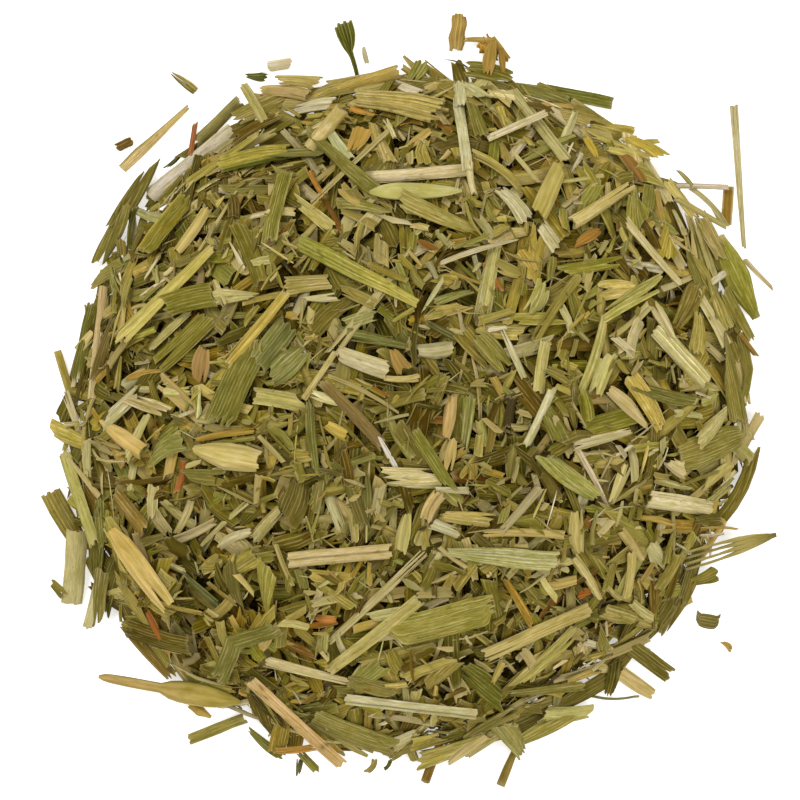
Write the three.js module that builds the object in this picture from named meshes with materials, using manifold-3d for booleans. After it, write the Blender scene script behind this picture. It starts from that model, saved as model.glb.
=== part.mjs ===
// A heap of cut and dried oat straw, poured out on a table: short cuts of stem, leaf, sheath, husk
// and grain. The small cuts pack into a round mound. The longest cuts lie on the mound, each where
// it came to rest, and a few strays lie round its foot.
// Millimetres, +Z up. The origin is the bottom centre of the box round the whole heap.

import * as THREE from "three";
import { mergeVertices } from "three/addons/utils/BufferGeometryUtils.js";
import Module from "manifold-3d";

const manifold = await Module();
manifold.setup();

// ---- Driving dimensions ----------------------------------------------------------------------

const MOUND_RADIUS = 54;
const MOUND_HEIGHT = 23;
const MOUND_SHOULDER = 2.6; // how flat the top is: 2 is a round dome, more is a flatter top
const MOUND_FOOT = 0.85; // how steep the foot is: under 1 meets the table at a steep angle
const MOUND_SEGMENTS = 26;
const MOUND_RINGS = 4;

const GAP = 0.35; // clear space between two cuts that lie on each other
const SAMPLE = 0.8; // spacing of the points where a cut feels what is under it
const STEEPEST = 1.1; // the steepest slope that a cut takes across its width

const LEAF_THICKNESS = 0.45;
const CULM_WALL = 0.55;
const MAT_CUTS = 90; // cuts at the mound's surface that are matted into it
const MAT_SINK = 0.9; // how deep a matted cut is held by the mound

const GOLDEN_ANGLE = Math.PI * (3 - Math.sqrt(5));

// ---- The mound of packed small cuts ----------------------------------------------------------

// The mound's outline against a circle: a little longer along one diagonal, with five soft lobes.
function outline(angle) {
  return 1 + 0.03 * Math.cos(2 * (angle - 0.66)) + 0.012 * Math.cos(5 * angle + 1);
}

// The height of the mound's surface at a share of its radius, 0 at the middle and 1 at the foot.
function profile(share) {
  return MOUND_HEIGHT * Math.max(0, 1 - share ** MOUND_SHOULDER) ** MOUND_FOOT;
}

function moundHeight(x, y) {
  const share = Math.hypot(x, y) / (MOUND_RADIUS * outline(Math.atan2(y, x)));
  return share < 1 ? profile(share) : 0;
}

function moundGeometry() {
  const points = [new THREE.Vector2(0, 0)];
  for (let ring = 0; ring <= MOUND_RINGS; ring++) {
    const share = Math.cos(((ring / MOUND_RINGS) * Math.PI) / 2);
    points.push(new THREE.Vector2(ring < MOUND_RINGS ? share * MOUND_RADIUS : 0, profile(share)));
  }
  const geometry = new THREE.LatheGeometry(points, MOUND_SEGMENTS).rotateX(Math.PI / 2);
  const at = geometry.attributes.position;
  for (let i = 0; i < at.count; i++) {
    const stretch = outline(Math.atan2(at.getY(i), at.getX(i)));
    at.setXY(i, at.getX(i) * stretch, at.getY(i) * stretch);
  }
  return geometry;
}

// ---- Sections and outlines of the cuts -------------------------------------------------------
// Every cut is made along +X with its middle at the origin, its width along Y and its underside
// at z = 0.

// A curved band, crown up: part of a ring, as wide as asked, that spans the angle in degrees.
function bandSection(width, thickness, degrees) {
  const half = THREE.MathUtils.degToRad(degrees) / 2;
  const radius = width / 2 / Math.sin(half);
  const drop = -(radius - thickness) * Math.cos(half);
  const band = new THREE.Shape();
  band.absarc(0, drop, radius, Math.PI / 2 + half, Math.PI / 2 - half, true);
  band.absarc(0, drop, radius - thickness, Math.PI / 2 - half, Math.PI / 2 + half, false);
  return band;
}

function ringSection(width, thickness) {
  const ring = new THREE.Shape();
  ring.absarc(0, width / 2, width / 2, 0, 2 * Math.PI, false);
  const bore = new THREE.Path();
  bore.absarc(0, width / 2, width / 2 - thickness, 0, 2 * Math.PI, true);
  ring.holes.push(bore);
  return ring;
}

function discSection(width) {
  const disc = new THREE.Shape();
  disc.absarc(0, width / 2, width / 2, 0, 2 * Math.PI, false);
  return disc;
}

// A section drawn out to a length along X. The width of its two ends can be a share of the
// middle's, one edge can be cut back by a slant, and the whole cut can arch along its length.
function drawOut(section, length, { start = 1, end = 1, slant = 0, arch = 0, steps = 3, round = 2 }) {
  const geometry = new THREE.ExtrudeGeometry(section, {
    depth: length,
    steps,
    curveSegments: round,
    bevelEnabled: false,
  });
  const at = geometry.attributes.position;
  for (let i = 0; i < at.count; i++) {
    const along = at.getZ(i) / length;
    const taper = along < 0.5 ? THREE.MathUtils.lerp(start, 1, 2 * along) : THREE.MathUtils.lerp(1, end, 2 * along - 1);
    const y = at.getX(i) * taper;
    const rise = arch * (1 - (2 * along - 1) ** 2);
    at.setXYZ(i, (along - 0.5) * length + slant * y * (2 * along - 1), y, at.getY(i) + rise);
  }
  return geometry;
}

// ---- The kinds of cut ------------------------------------------------------------------------

// A stem split along its length, a half tube or less, lying crown up.
function splitCulm({ length, width, start = 1, end = 1, slant = 0.1, round = 3 }) {
  return drawOut(bandSection(width, CULM_WALL, 125), length, { start, end, slant, steps: 1, round });
}

// A short length of whole hollow stem.
function culmTube({ length, width }) {
  return drawOut(ringSection(width, CULM_WALL), length, { steps: 1, round: 5 });
}

// A strip of leaf blade, nearly flat, cut square or on a slant.
function leafStrip({ length, width, start = 1, end = 1, slant = 0.25, arch = 0.4, steps = 3 }) {
  return drawOut(bandSection(width, LEAF_THICKNESS, 50), length, { start, end, slant, arch, steps, round: 2 });
}

// The leaf's base, which wrapped the stem: wider, more curved and strongly ribbed.
function sheathPiece({ length, width, start = 0.9, end = 0.75, slant = 0.1, arch = 0.6, steps = 3, round = 3 }) {
  return drawOut(bandSection(width, LEAF_THICKNESS, 95), length, { start, end, slant, arch, steps, round });
}

// A husk of the spikelet: a boat of thin skin that closes to a point.
function glume({ length, width, start = 0.55, end = 0.2, arch = 0.8 }) {
  return drawOut(bandSection(width, LEAF_THICKNESS, 130), length, { start, end, arch, steps: 4, round: 3 });
}

// The grain in its hull: a slim spindle, fuller towards its base and a little flat.
function floret({ length, width }) {
  const stations = 6;
  const points = [];
  for (let i = 0; i <= stations; i++) {
    const along = i / stations;
    const fullness = Math.sin(Math.PI * along ** 0.8) ** 0.75;
    points.push(new THREE.Vector2(i % stations ? (fullness * width) / 2 : 0, (along - 0.5) * length));
  }
  const spindle = new THREE.LatheGeometry(points, 8).rotateZ(-Math.PI / 2).scale(1, 1, 0.75);
  return spindle.translate(0, 0, 0.75 * (width / 2) * Math.cos(Math.PI / 8));
}

// A floret still on the thin stalk that it hung from.
function stalkedFloret({ length, width, stalk }) {
  const grain = floret({ length: length - stalk, width }).translate(stalk / 2, 0, 0);
  const reach = stalk + width / 2;
  const stem = drawOut(discSection(width * 0.4), reach, { start: 0.8, end: 1, steps: 2, round: 3 });
  stem.translate((reach - length) / 2, 0, width * 0.1);
  return joined([grain, stem]);
}

// A thin dry stalk or splinter, nearly round.
function stalk({ length, width, start = 1, end = 0.6 }) {
  return drawOut(discSection(width), length, { start, end, steps: 2, round: 3 });
}

// A flake of leaf at the end of the thin stalk that it grew on.
function stalkedFlake({ length, width, stalk: reach }) {
  const flake = leafStrip({ length: length - reach, width, start: 0.35, slant: 0.1 }).translate(reach / 2, 0, 0);
  const stem = stalk({ length: reach + width * 0.3, width: width * 0.25, start: 0.8, end: 1 });
  stem.translate((width * 0.3 + reach - length) / 2, 0, 0);
  return joined([flake, stem]);
}

// A fine thread of the plant, bowed in plan.
function thread({ length, width, bow }) {
  const path = new THREE.QuadraticBezierCurve3(
    new THREE.Vector3(-length / 2, -bow / 2, width / 2),
    new THREE.Vector3(0, bow * 1.5, width / 2),
    new THREE.Vector3(length / 2, -bow / 2, width / 2),
  );
  const section = new THREE.Shape();
  section.absarc(0, 0, width / 2, 0, 2 * Math.PI, false);
  return new THREE.ExtrudeGeometry(section, { extrudePath: path, steps: 8, curveSegments: 3 });
}

// A leaf torn into tines at one end, which are still joined at the tip.
function frayedLeaf({ length, width }) {
  const tines = 4;
  const half = width / 2;
  const root = -length / 2;
  const tear = length * 0.12;
  const blade = new THREE.Shape();
  blade.moveTo(root, -half);
  blade.quadraticCurveTo(length * 0.2, -half * 1.1, length / 2, 0);
  blade.quadraticCurveTo(length * 0.2, half * 1.1, root, half);
  for (let i = tines - 1; i > 0; i--) {
    const y = -half + (width * i) / tines;
    blade.lineTo(root, y + width * 0.1);
    blade.lineTo(tear, y * 0.75);
    blade.lineTo(root, y - width * 0.1);
  }
  blade.closePath();
  return new THREE.ExtrudeGeometry(blade, { depth: LEAF_THICKNESS, curveSegments: 6, bevelEnabled: false });
}

// A leaf folded over on itself where it bent and dried.
function foldedLeaf({ length, width, fold = 50 }) {
  const arm = length * 0.55;
  const turn = THREE.MathUtils.degToRad(fold);
  const front = drawOut(bandSection(width, LEAF_THICKNESS, 40), arm, { start: 0.9, end: 0.8, steps: 2 });
  front.translate(arm / 2 - width * 0.25, 0, 0);
  const back = drawOut(bandSection(width, LEAF_THICKNESS, 40), arm, { start: 0.8, end: 0.7, steps: 2 });
  back.translate(-arm / 2 + width * 0.25, 0, LEAF_THICKNESS * 0.6).rotateZ(turn);
  return joined([front, back]);
}

// ---- Solids ----------------------------------------------------------------------------------

function solidOf(geometry) {
  const plain = geometry.clone();
  plain.deleteAttribute("normal");
  plain.deleteAttribute("uv");
  const merged = mergeVertices(plain, 1e-3);
  const mesh = new manifold.Mesh({
    numProp: 3,
    vertProperties: new Float32Array(merged.attributes.position.array),
    triVerts: new Uint32Array(merged.index.array),
  });
  return new manifold.Manifold(mesh);
}

function geometryOf(solid) {
  const mesh = solid.getMesh();
  const geometry = new THREE.BufferGeometry();
  geometry.setAttribute("position", new THREE.BufferAttribute(new Float32Array(mesh.vertProperties), 3));
  geometry.setIndex(new THREE.BufferAttribute(new Uint32Array(mesh.triVerts), 1));
  const faceted = geometry.toNonIndexed();
  faceted.computeVertexNormals();
  return faceted;
}

function joined(geometries) {
  return geometryOf(geometries.map(solidOf).reduce((whole, piece) => whole.add(piece)));
}

// ---- Coming to rest --------------------------------------------------------------------------

const resting = []; // every cut that lies somewhere, as the slab that it fills

// The surface that a cut meets at a point of the table: the table, the mound or a cut that lies
// there already.
function supportHeight(x, y) {
  const mound = moundHeight(x, y);
  let height = mound > 0 ? mound + GAP : 0;
  for (const slab of resting) {
    const s = (x - slab.x) * slab.cos + (y - slab.y) * slab.sin;
    const t = (y - slab.y) * slab.cos - (x - slab.x) * slab.sin;
    if (Math.abs(s) < slab.halfLength && Math.abs(t) < slab.halfWidth)
      height = Math.max(height, slab.base + slab.pitch * s + slab.roll * t + slab.depth);
  }
  return height;
}

// Lays a cut down with its middle over (x, y). Across its width it takes the slope of what is
// under it. Along its length it balances on the two points, one on each side of its middle, that
// hold its middle highest, as a stiff stick does. The slab that it then fills is remembered.
function layDown(geometry, { x, y, turn, sink = 0 }) {
  geometry.computeBoundingBox();
  const { min, max } = geometry.boundingBox;
  const reach = Math.max(max.x, -min.x);
  const side = Math.max(max.y, -min.y);
  const angle = THREE.MathUtils.degToRad(turn);
  const [cos, sin] = [Math.cos(angle), Math.sin(angle)];
  const steps = (half) => Math.max(1, Math.ceil(half / SAMPLE));
  const rows = [];
  for (let i = -steps(reach); i <= steps(reach); i++) {
    const s = (reach * i) / steps(reach);
    const row = { s, across: [] };
    for (let j = -steps(side); j <= steps(side); j++) {
      const t = (side * j) / steps(side);
      row.across.push({ t, height: supportHeight(x + s * cos - t * sin, y + s * sin + t * cos) });
    }
    rows.push(row);
  }

  const points = rows.flatMap((row) => row.across);
  const slope =
    points.reduce((sum, p) => sum + p.t * p.height, 0) / points.reduce((sum, p) => sum + p.t * p.t, 0);
  const roll = THREE.MathUtils.clamp(slope, -STEEPEST, STEEPEST);
  for (const row of rows) row.top = Math.max(...row.across.map((p) => p.height - roll * p.t));

  let base = -Infinity;
  let pitch = 0;
  for (const left of rows.filter((row) => row.s < 0))
    for (const right of rows.filter((row) => row.s > 0)) {
      const level = (left.top * right.s - right.top * left.s) / (right.s - left.s);
      if (level > base) {
        base = level;
        pitch = (right.top - left.top) / (right.s - left.s);
      }
    }
  base = Math.max(base, rows.find((row) => row.s === 0).top);

  const along = new THREE.Vector3(cos, sin, pitch).normalize();
  const up = along.clone().cross(new THREE.Vector3(-sin, cos, roll)).normalize();
  const across = up.clone().cross(along);
  const thickness = (max.z - min.z + GAP) / up.z;
  const drop = sink / up.z;
  resting.push({
    x,
    y,
    cos,
    sin,
    halfLength: reach + GAP,
    halfWidth: side + GAP,
    base: base - drop,
    pitch,
    roll,
    depth: thickness,
  });
  const place = new THREE.Object3D();
  place.quaternion.setFromRotationMatrix(new THREE.Matrix4().makeBasis(along, across, up));
  place.position.set(x, y, base - drop - min.z / up.z);
  return place;
}

// ---- The cuts that are matted into the mound's surface ---------------------------------------

// They spread over the mound on a sunflower spiral. Near the foot they lie round the mound, and
// towards the middle they point every way.
function matCuts() {
  const makers = [leafStrip, splitCulm, sheathPiece, splitCulm, leafStrip, splitCulm];
  const cuts = [];
  for (let i = 0; i < MAT_CUTS; i++) {
    const share = Math.sqrt((i + 0.5) / MAT_CUTS);
    const angle = i * GOLDEN_ANGLE;
    const radius = share * MOUND_RADIUS * outline(angle) * 0.97;
    const wander = ((i * 67) % 180) - 90;
    const length = 9 + ((i * 5) % 8);
    const width = 2.2 + ((i * 3) % 5) * 0.5;
    const maker = makers[i % makers.length];
    const geometry = maker({ length, width, steps: 1, round: 2, end: 0.8 });
    const turn = THREE.MathUtils.radToDeg(angle) + 90 + wander * (1 - share ** 3);
    const place = layDown(geometry, {
      x: radius * Math.cos(angle),
      y: radius * Math.sin(angle),
      turn,
      sink: MAT_SINK,
    });
    place.updateMatrix();
    cuts.push(geometry.applyMatrix4(place.matrix));
  }
  return cuts;
}

// The mound with its matted cuts, as one solid with a flat underside on the table.
function moundWithMat() {
  const table = new THREE.BoxGeometry(4 * MOUND_RADIUS, 4 * MOUND_RADIUS, MOUND_HEIGHT);
  table.translate(0, 0, -MOUND_HEIGHT / 2);
  const whole = [moundGeometry(), ...matCuts()].map(solidOf).reduce((sum, piece) => sum.add(piece));
  const bodies = whole.subtract(solidOf(table)).decompose();
  bodies.sort((a, b) => b.volume() - a.volume());
  return geometryOf(bodies[0]);
}

// ---- The separate cuts -----------------------------------------------------------------------

const LEAF_GREEN = new THREE.Color(0x7c7d4a);
const DARK_GREEN = new THREE.Color(0x575a38);
const BRIGHT_GREEN = new THREE.Color(0x949a4e);
const STRAW = new THREE.Color(0xb9ad6e);
const PALE_STRAW = new THREE.Color(0xd3caa0);
const TAN = new THREE.Color(0xb99f5e);
const RUST = new THREE.Color(0x98602e);
const MIXED_CUTS = new THREE.Color(0x857a44);

const ROUGHNESS = 0.7;

// Each separate cut, in the order in which it came to lie there, so a later one can lie over an
// earlier one: its kind and colour, its middle on the table (x, y), the way that it points in
// degrees from +X, its length and its width.
const CUTS = [
  // Strays on the table round the foot.
  { kind: "stray_splinter", make: splitCulm, colour: STRAW, x: -41, y: 45.5, turn: 43, length: 15.5, width: 1.8, end: 0.5 },
  { kind: "stray_chip", make: leafStrip, colour: TAN, x: -46.3, y: 44.2, turn: 25, length: 2.8, width: 1.5 },
  { kind: "stray_leaf_tip", make: leafStrip, colour: STRAW, x: -36.5, y: 54.5, turn: 144, length: 5, width: 1.5, end: 0.3 },
  { kind: "stray_husk_chip", make: leafStrip, colour: PALE_STRAW, x: -20.7, y: 57.3, turn: 8, length: 3.8, width: 1.8 },
  { kind: "stray_leaf_flake", make: stalkedFlake, colour: DARK_GREEN, x: -9, y: 59.5, turn: 105, length: 10, width: 3, stalk: 5.4 },
  { kind: "stray_curled_husk", make: sheathPiece, colour: TAN, x: 8.7, y: 62.6, turn: 84, length: 6.1, width: 3 },
  { kind: "stray_rolled_husk", make: glume, colour: TAN, x: 13.8, y: 59.8, turn: -60, length: 5, width: 3.4 },
  { kind: "stray_long_stem", make: splitCulm, colour: PALE_STRAW, x: 55, y: 38.9, turn: -86, length: 24, width: 1.4, end: 0.5 },
  { kind: "stray_stub", make: splitCulm, colour: TAN, x: 53.1, y: 34.2, turn: 87, length: 6.4, width: 1.8 },
  { kind: "stray_green_chip", make: leafStrip, colour: DARK_GREEN, x: 49.8, y: -34.4, turn: -10, length: 3.4, width: 2.5 },
  { kind: "stray_culm", make: splitCulm, colour: LEAF_GREEN, x: -31, y: -52.1, turn: 21, length: 10, width: 2.2 },
  { kind: "stray_husk", make: glume, colour: TAN, x: -33.6, y: -49.2, turn: -28, length: 4.6, width: 1.8 },
  { kind: "stalked_floret", make: stalkedFloret, colour: STRAW, x: -38.4, y: -45.3, turn: -9, length: 24, width: 3.8, stalk: 10.5 },
  { kind: "frayed_leaf", make: frayedLeaf, colour: LEAF_GREEN, x: 53.2, y: -22.2, turn: 15, length: 17, width: 3.6 },
  { kind: "curved_thread", make: thread, colour: DARK_GREEN, x: 33, y: -46.6, turn: 174, length: 11, width: 0.6, bow: 1.1 },
  { kind: "foot_stem", make: stalk, colour: TAN, x: 4.7, y: -56.4, turn: 70, length: 9, width: 1.6, end: 0.95 },
  { kind: "foot_stem", make: stalk, colour: TAN, x: 18, y: -55.9, turn: 67, length: 12, width: 1.5, end: 0.9 },
  // Cuts that lean on the foot of the mound.
  { kind: "edge_stem", make: splitCulm, colour: STRAW, x: -55.4, y: 4.5, turn: -72, length: 12, width: 1.4 },
  { kind: "edge_leaf", make: leafStrip, colour: DARK_GREEN, x: -52.2, y: 11, turn: 80, length: 14, width: 2.8 },
  { kind: "edge_sheath", make: sheathPiece, colour: LEAF_GREEN, x: -56, y: -17.4, turn: -60, length: 10, width: 3.8 },
  { kind: "edge_leaf", make: leafStrip, colour: DARK_GREEN, x: -40.4, y: -36.1, turn: -12, length: 14.5, width: 3.8 },
  { kind: "edge_leaf", make: leafStrip, colour: LEAF_GREEN, x: 28.8, y: 52, turn: -11, length: 11, width: 2.1 },
  { kind: "edge_leaf", make: leafStrip, colour: DARK_GREEN, x: 39.6, y: -40.3, turn: -37, length: 10, width: 2.8 },
  { kind: "edge_leaf", make: leafStrip, colour: LEAF_GREEN, x: -8, y: -52, turn: -22, length: 15, width: 5 },
  { kind: "green_glume", make: glume, colour: BRIGHT_GREEN, x: 54.4, y: 22.3, turn: -63, length: 15, width: 4.8 },
  { kind: "ribbed_leaf", make: sheathPiece, colour: LEAF_GREEN, x: 48.7, y: -5.5, turn: 19, length: 14, width: 5.4, end: 1 },
  { kind: "split_culm", make: splitCulm, colour: PALE_STRAW, x: 44, y: -14.5, turn: -9, length: 14, width: 2.9 },
  { kind: "split_culm", make: splitCulm, colour: STRAW, x: -54.3, y: -25.2, turn: 84, length: 12.5, width: 3.5 },
  { kind: "split_culm", make: splitCulm, colour: BRIGHT_GREEN, x: -52.9, y: -14.2, turn: -69, length: 17, width: 2.8 },
  { kind: "split_culm", make: splitCulm, colour: PALE_STRAW, x: -50.6, y: -29.4, turn: 74, length: 13, width: 1.7 },
  { kind: "long_stem", make: splitCulm, colour: PALE_STRAW, x: -50.2, y: 11.5, turn: 85, length: 19, width: 1.4 },
  { kind: "split_culm", make: splitCulm, colour: TAN, x: -30.8, y: 48, turn: 44, length: 10, width: 2 },
  { kind: "split_culm", make: splitCulm, colour: PALE_STRAW, x: -35.1, y: 41, turn: 38, length: 17.5, width: 2.6 },
  { kind: "split_culm", make: splitCulm, colour: TAN, x: -9, y: 53.5, turn: 18, length: 17, width: 2.4 },
  { kind: "split_culm", make: splitCulm, colour: TAN, x: -17.6, y: -50, turn: -45, length: 22.5, width: 2.9 },
  // Cuts on the mound itself.
  { kind: "leaf_strip", make: leafStrip, colour: LEAF_GREEN, x: -26.5, y: 4.8, turn: 65, length: 14, width: 5 },
  { kind: "leaf_strip", make: sheathPiece, colour: BRIGHT_GREEN, x: -24.4, y: 41, turn: 10, length: 12, width: 4.4 },
  { kind: "leaf_strip", make: leafStrip, colour: LEAF_GREEN, x: -20.2, y: 32.6, turn: 78, length: 12.6, width: 3 },
  { kind: "leaf_strip", make: leafStrip, colour: DARK_GREEN, x: -38.6, y: 30.4, turn: 53, length: 11.4, width: 4.6 },
  { kind: "bright_leaf", make: leafStrip, colour: BRIGHT_GREEN, x: -7.4, y: 22.1, turn: -28, length: 22.5, width: 2.6, end: 0.5 },
  { kind: "broad_leaf", make: leafStrip, colour: LEAF_GREEN, x: 5.8, y: -32.7, turn: 14, length: 16, width: 5.6, slant: 0.4 },
  { kind: "pale_leaf", make: leafStrip, colour: BRIGHT_GREEN, x: 15.2, y: -22.6, turn: -6, length: 18, width: 3.2, start: 0.3 },
  { kind: "folded_leaf", make: foldedLeaf, colour: LEAF_GREEN, x: -27, y: -36, turn: 18, length: 17, width: 3.6, fold: 42 },
  { kind: "ribbed_sheath", make: sheathPiece, colour: TAN, x: -1, y: 49.5, turn: 172, length: 14, width: 6.6 },
  { kind: "pale_glume", make: glume, colour: STRAW, x: -27.7, y: -6.6, turn: 169, length: 12, width: 4.4 },
  { kind: "torn_floret", make: glume, colour: TAN, x: -41.7, y: -25, turn: 129, length: 17, width: 4, start: 0.75, end: 0.5 },
  { kind: "gold_floret", make: floret, colour: TAN, x: -45, y: -3.8, turn: -35, length: 11, width: 3 },
  { kind: "split_culm", make: splitCulm, colour: STRAW, x: -38.2, y: 18.7, turn: 43, length: 22.5, width: 3.5, end: 0.55 },
  { kind: "split_culm", make: splitCulm, colour: PALE_STRAW, x: 2, y: 38, turn: 5, length: 17, width: 2.2 },
  { kind: "slim_floret", make: floret, colour: BRIGHT_GREEN, x: 1.5, y: 34.8, turn: 1, length: 15, width: 2.8 },
  { kind: "split_culm", make: splitCulm, colour: PALE_STRAW, x: 9.2, y: 44, turn: -84, length: 17.5, width: 1.8 },
  { kind: "split_culm", make: splitCulm, colour: STRAW, x: 21.8, y: 46.4, turn: -55, length: 17, width: 2.5 },
  { kind: "split_culm", make: splitCulm, colour: PALE_STRAW, x: 18.1, y: 46.3, turn: 25, length: 11, width: 1.5 },
  { kind: "culm_tube", make: culmTube, colour: STRAW, x: -12, y: 45.3, turn: 50, length: 8.4, width: 2.4 },
  { kind: "split_culm", make: splitCulm, colour: STRAW, x: 31.6, y: 33.5, turn: 33, length: 13.6, width: 2.3, end: 0.7 },
  { kind: "split_culm", make: splitCulm, colour: STRAW, x: 44, y: 9.5, turn: -45, length: 14, width: 3.2 },
  { kind: "grooved_culm", make: splitCulm, colour: STRAW, x: 1, y: -47.1, turn: -6, length: 21.5, width: 2.5 },
  { kind: "split_culm", make: splitCulm, colour: PALE_STRAW, x: -10.3, y: -22.4, turn: 5, length: 16.5, width: 2.5 },
  { kind: "split_culm", make: splitCulm, colour: STRAW, x: 21, y: -35.1, turn: 24, length: 18.8, width: 2.6 },
];

function material(colour) {
  return new THREE.MeshStandardMaterial({ color: colour, roughness: ROUGHNESS, metalness: 0 });
}

function separateCuts() {
  const counts = {};
  for (const { kind } of CUTS) counts[kind] = (counts[kind] ?? 0) + 1;
  const seen = {};
  return CUTS.map(({ kind, make, colour, x, y, turn, ...size }) => {
    const geometry = make(size);
    seen[kind] = (seen[kind] ?? 0) + 1;
    const mesh = new THREE.Mesh(geometry, material(colour));
    mesh.name = counts[kind] > 1 ? `${kind}_${String(seen[kind]).padStart(2, "0")}` : kind;
    const place = layDown(geometry, { x, y, turn });
    mesh.position.copy(place.position);
    mesh.quaternion.copy(place.quaternion);
    return mesh;
  });
}

// ---- The heap --------------------------------------------------------------------------------

const mound = new THREE.Mesh(moundWithMat(), material(MIXED_CUTS));
mound.name = "packed_cuts";
const lying = new THREE.Group().add(mound, ...separateCuts());
const box = new THREE.Box3().setFromObject(lying, true);
lying.position.set(-(box.min.x + box.max.x) / 2, -(box.min.y + box.max.y) / 2, -box.min.z);

const heap = new THREE.Group().add(lying);

export default heap;
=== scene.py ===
# %% [markdown]
# # A heap of cut oat straw
#
# Dried oat plants are cut into lengths of a few millimetres to two centimetres and sifted. What is
# left is a springy mixture: split stems, ribbed strips of leaf, leaf sheaths, husks, some grains and
# a lot of crumbs. Poured out on a table, it makes a low round heap.
#
# The heap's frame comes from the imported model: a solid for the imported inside, and one solid for
# each of the larger cuts that lie on it. This lesson gives the heap its looks. It works in
# millimetres and turns them into metres when a mesh is made.

# %% Load the frame
import math
import time
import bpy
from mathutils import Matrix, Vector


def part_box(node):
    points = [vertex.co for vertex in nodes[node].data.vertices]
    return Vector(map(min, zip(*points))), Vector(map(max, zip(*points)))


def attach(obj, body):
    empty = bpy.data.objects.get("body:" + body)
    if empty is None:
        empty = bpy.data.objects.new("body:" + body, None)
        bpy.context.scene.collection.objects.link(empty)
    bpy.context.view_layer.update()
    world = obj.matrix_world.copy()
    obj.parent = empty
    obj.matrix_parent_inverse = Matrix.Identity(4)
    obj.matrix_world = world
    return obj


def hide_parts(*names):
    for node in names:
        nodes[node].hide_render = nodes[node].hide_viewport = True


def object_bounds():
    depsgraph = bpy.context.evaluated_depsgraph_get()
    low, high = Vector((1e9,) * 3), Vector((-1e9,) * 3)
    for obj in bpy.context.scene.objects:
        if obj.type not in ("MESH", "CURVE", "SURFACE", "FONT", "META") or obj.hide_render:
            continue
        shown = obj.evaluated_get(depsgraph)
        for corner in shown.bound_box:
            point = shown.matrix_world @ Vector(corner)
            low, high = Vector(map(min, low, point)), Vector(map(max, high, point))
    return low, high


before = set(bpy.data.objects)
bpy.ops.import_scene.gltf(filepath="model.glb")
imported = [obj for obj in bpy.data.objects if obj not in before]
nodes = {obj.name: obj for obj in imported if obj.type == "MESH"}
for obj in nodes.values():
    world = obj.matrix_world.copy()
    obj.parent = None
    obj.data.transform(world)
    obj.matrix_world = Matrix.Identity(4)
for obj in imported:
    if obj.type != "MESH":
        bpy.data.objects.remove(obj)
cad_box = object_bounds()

import zlib
from types import SimpleNamespace

import bpy
import numpy as np

started = time.time()
MM = 0.001
FULL_TURN = 2 * math.pi


def in_scene(name, data):
    """A new object of some data, in the scene at the origin."""
    thing = bpy.data.objects.new(name, data)
    bpy.context.scene.collection.objects.link(thing)
    return thing


print("nodes in the frame:", len(nodes))

# %% [markdown]
# ## Floor, light and camera
#
# The heap is looked at from straight above on a bright table. A long lens keeps the middle of the
# heap from looking larger than its edge. The light comes from a wide panel overhead and from a
# bright room round it, as in a light tent, so the shadows stay soft and deep gaps between the cuts
# still go dark.

# %% Floor
FLOOR_HALF = 3.0
SQUARE = [(-1, -1), (1, -1), (1, 1), (-1, 1)]


def floor_material():
    mat = bpy.data.materials.new("pale_table")
    mat.use_nodes = True
    shader = mat.node_tree.nodes["Principled BSDF"]
    shader.inputs["Base Color"].default_value = (0.93, 0.93, 0.92, 1)
    shader.inputs["Roughness"].default_value = 0.8
    shader.inputs["Specular IOR Level"].default_value = 0.2
    shader.inputs["Emission Color"].default_value = (1, 1, 0.985, 1)
    shader.inputs["Emission Strength"].default_value = 0.5
    return mat


floor_mesh = bpy.data.meshes.new("floor")
floor_mesh.from_pydata([(x * FLOOR_HALF, y * FLOOR_HALF, 0) for x, y in SQUARE], [], [(0, 1, 2, 3)])
floor_mesh.materials.append(floor_material())
floor = in_scene("floor", floor_mesh)
print("floor is", 2 * FLOOR_HALF, "m across")

# %% Camera
VIEW_WIDTH = 132.0
VIEW_SHIFT = -1.5
LENS = 135.0
SENSOR = 36.0
middle = np.mean(cad_box, 0)
camera_data = bpy.data.cameras.new("camera")
camera_data.lens = LENS
camera_data.sensor_width = SENSOR
camera = in_scene("camera", camera_data)
distance = VIEW_WIDTH * MM * LENS / SENSOR
camera.location = (middle[0] + VIEW_SHIFT * MM, middle[1], distance)
bpy.context.scene.camera = camera
print("camera height:", round(distance, 3), "m")


# %% Light
def panel(name, place, size, power):
    """A square soft light at a place, turned to face the origin."""
    data = bpy.data.lights.new(name, "AREA")
    data.shape = "SQUARE"
    data.size = size
    data.energy = power
    lamp = in_scene(name, data)
    back = np.array(place) / np.linalg.norm(place)
    lamp.rotation_euler = (math.acos(back[2]), 0, math.atan2(back[1], back[0]) + math.pi / 2)
    lamp.location = place


panel("key", (-0.45, 0.5, 0.95), 0.5, 6.8)
panel("fill", (0.6, -0.35, 0.8), 0.6, 3.7)
room = bpy.data.worlds.new("room")
room.use_nodes = True
background = room.node_tree.nodes["Background"].inputs
background["Color"].default_value = (1, 0.995, 0.98, 1)
background["Strength"].default_value = 0.65
bpy.context.scene.world = room
bpy.context.scene.view_settings.view_transform = "Standard"

# %% [markdown]
# ## Shader maths as plain expressions
#
# A finish is a sum of patterns. Wiring each sum by hand hides the idea, so a small class wraps a
# node's output socket, and the usual operators add the Math nodes.


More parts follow.
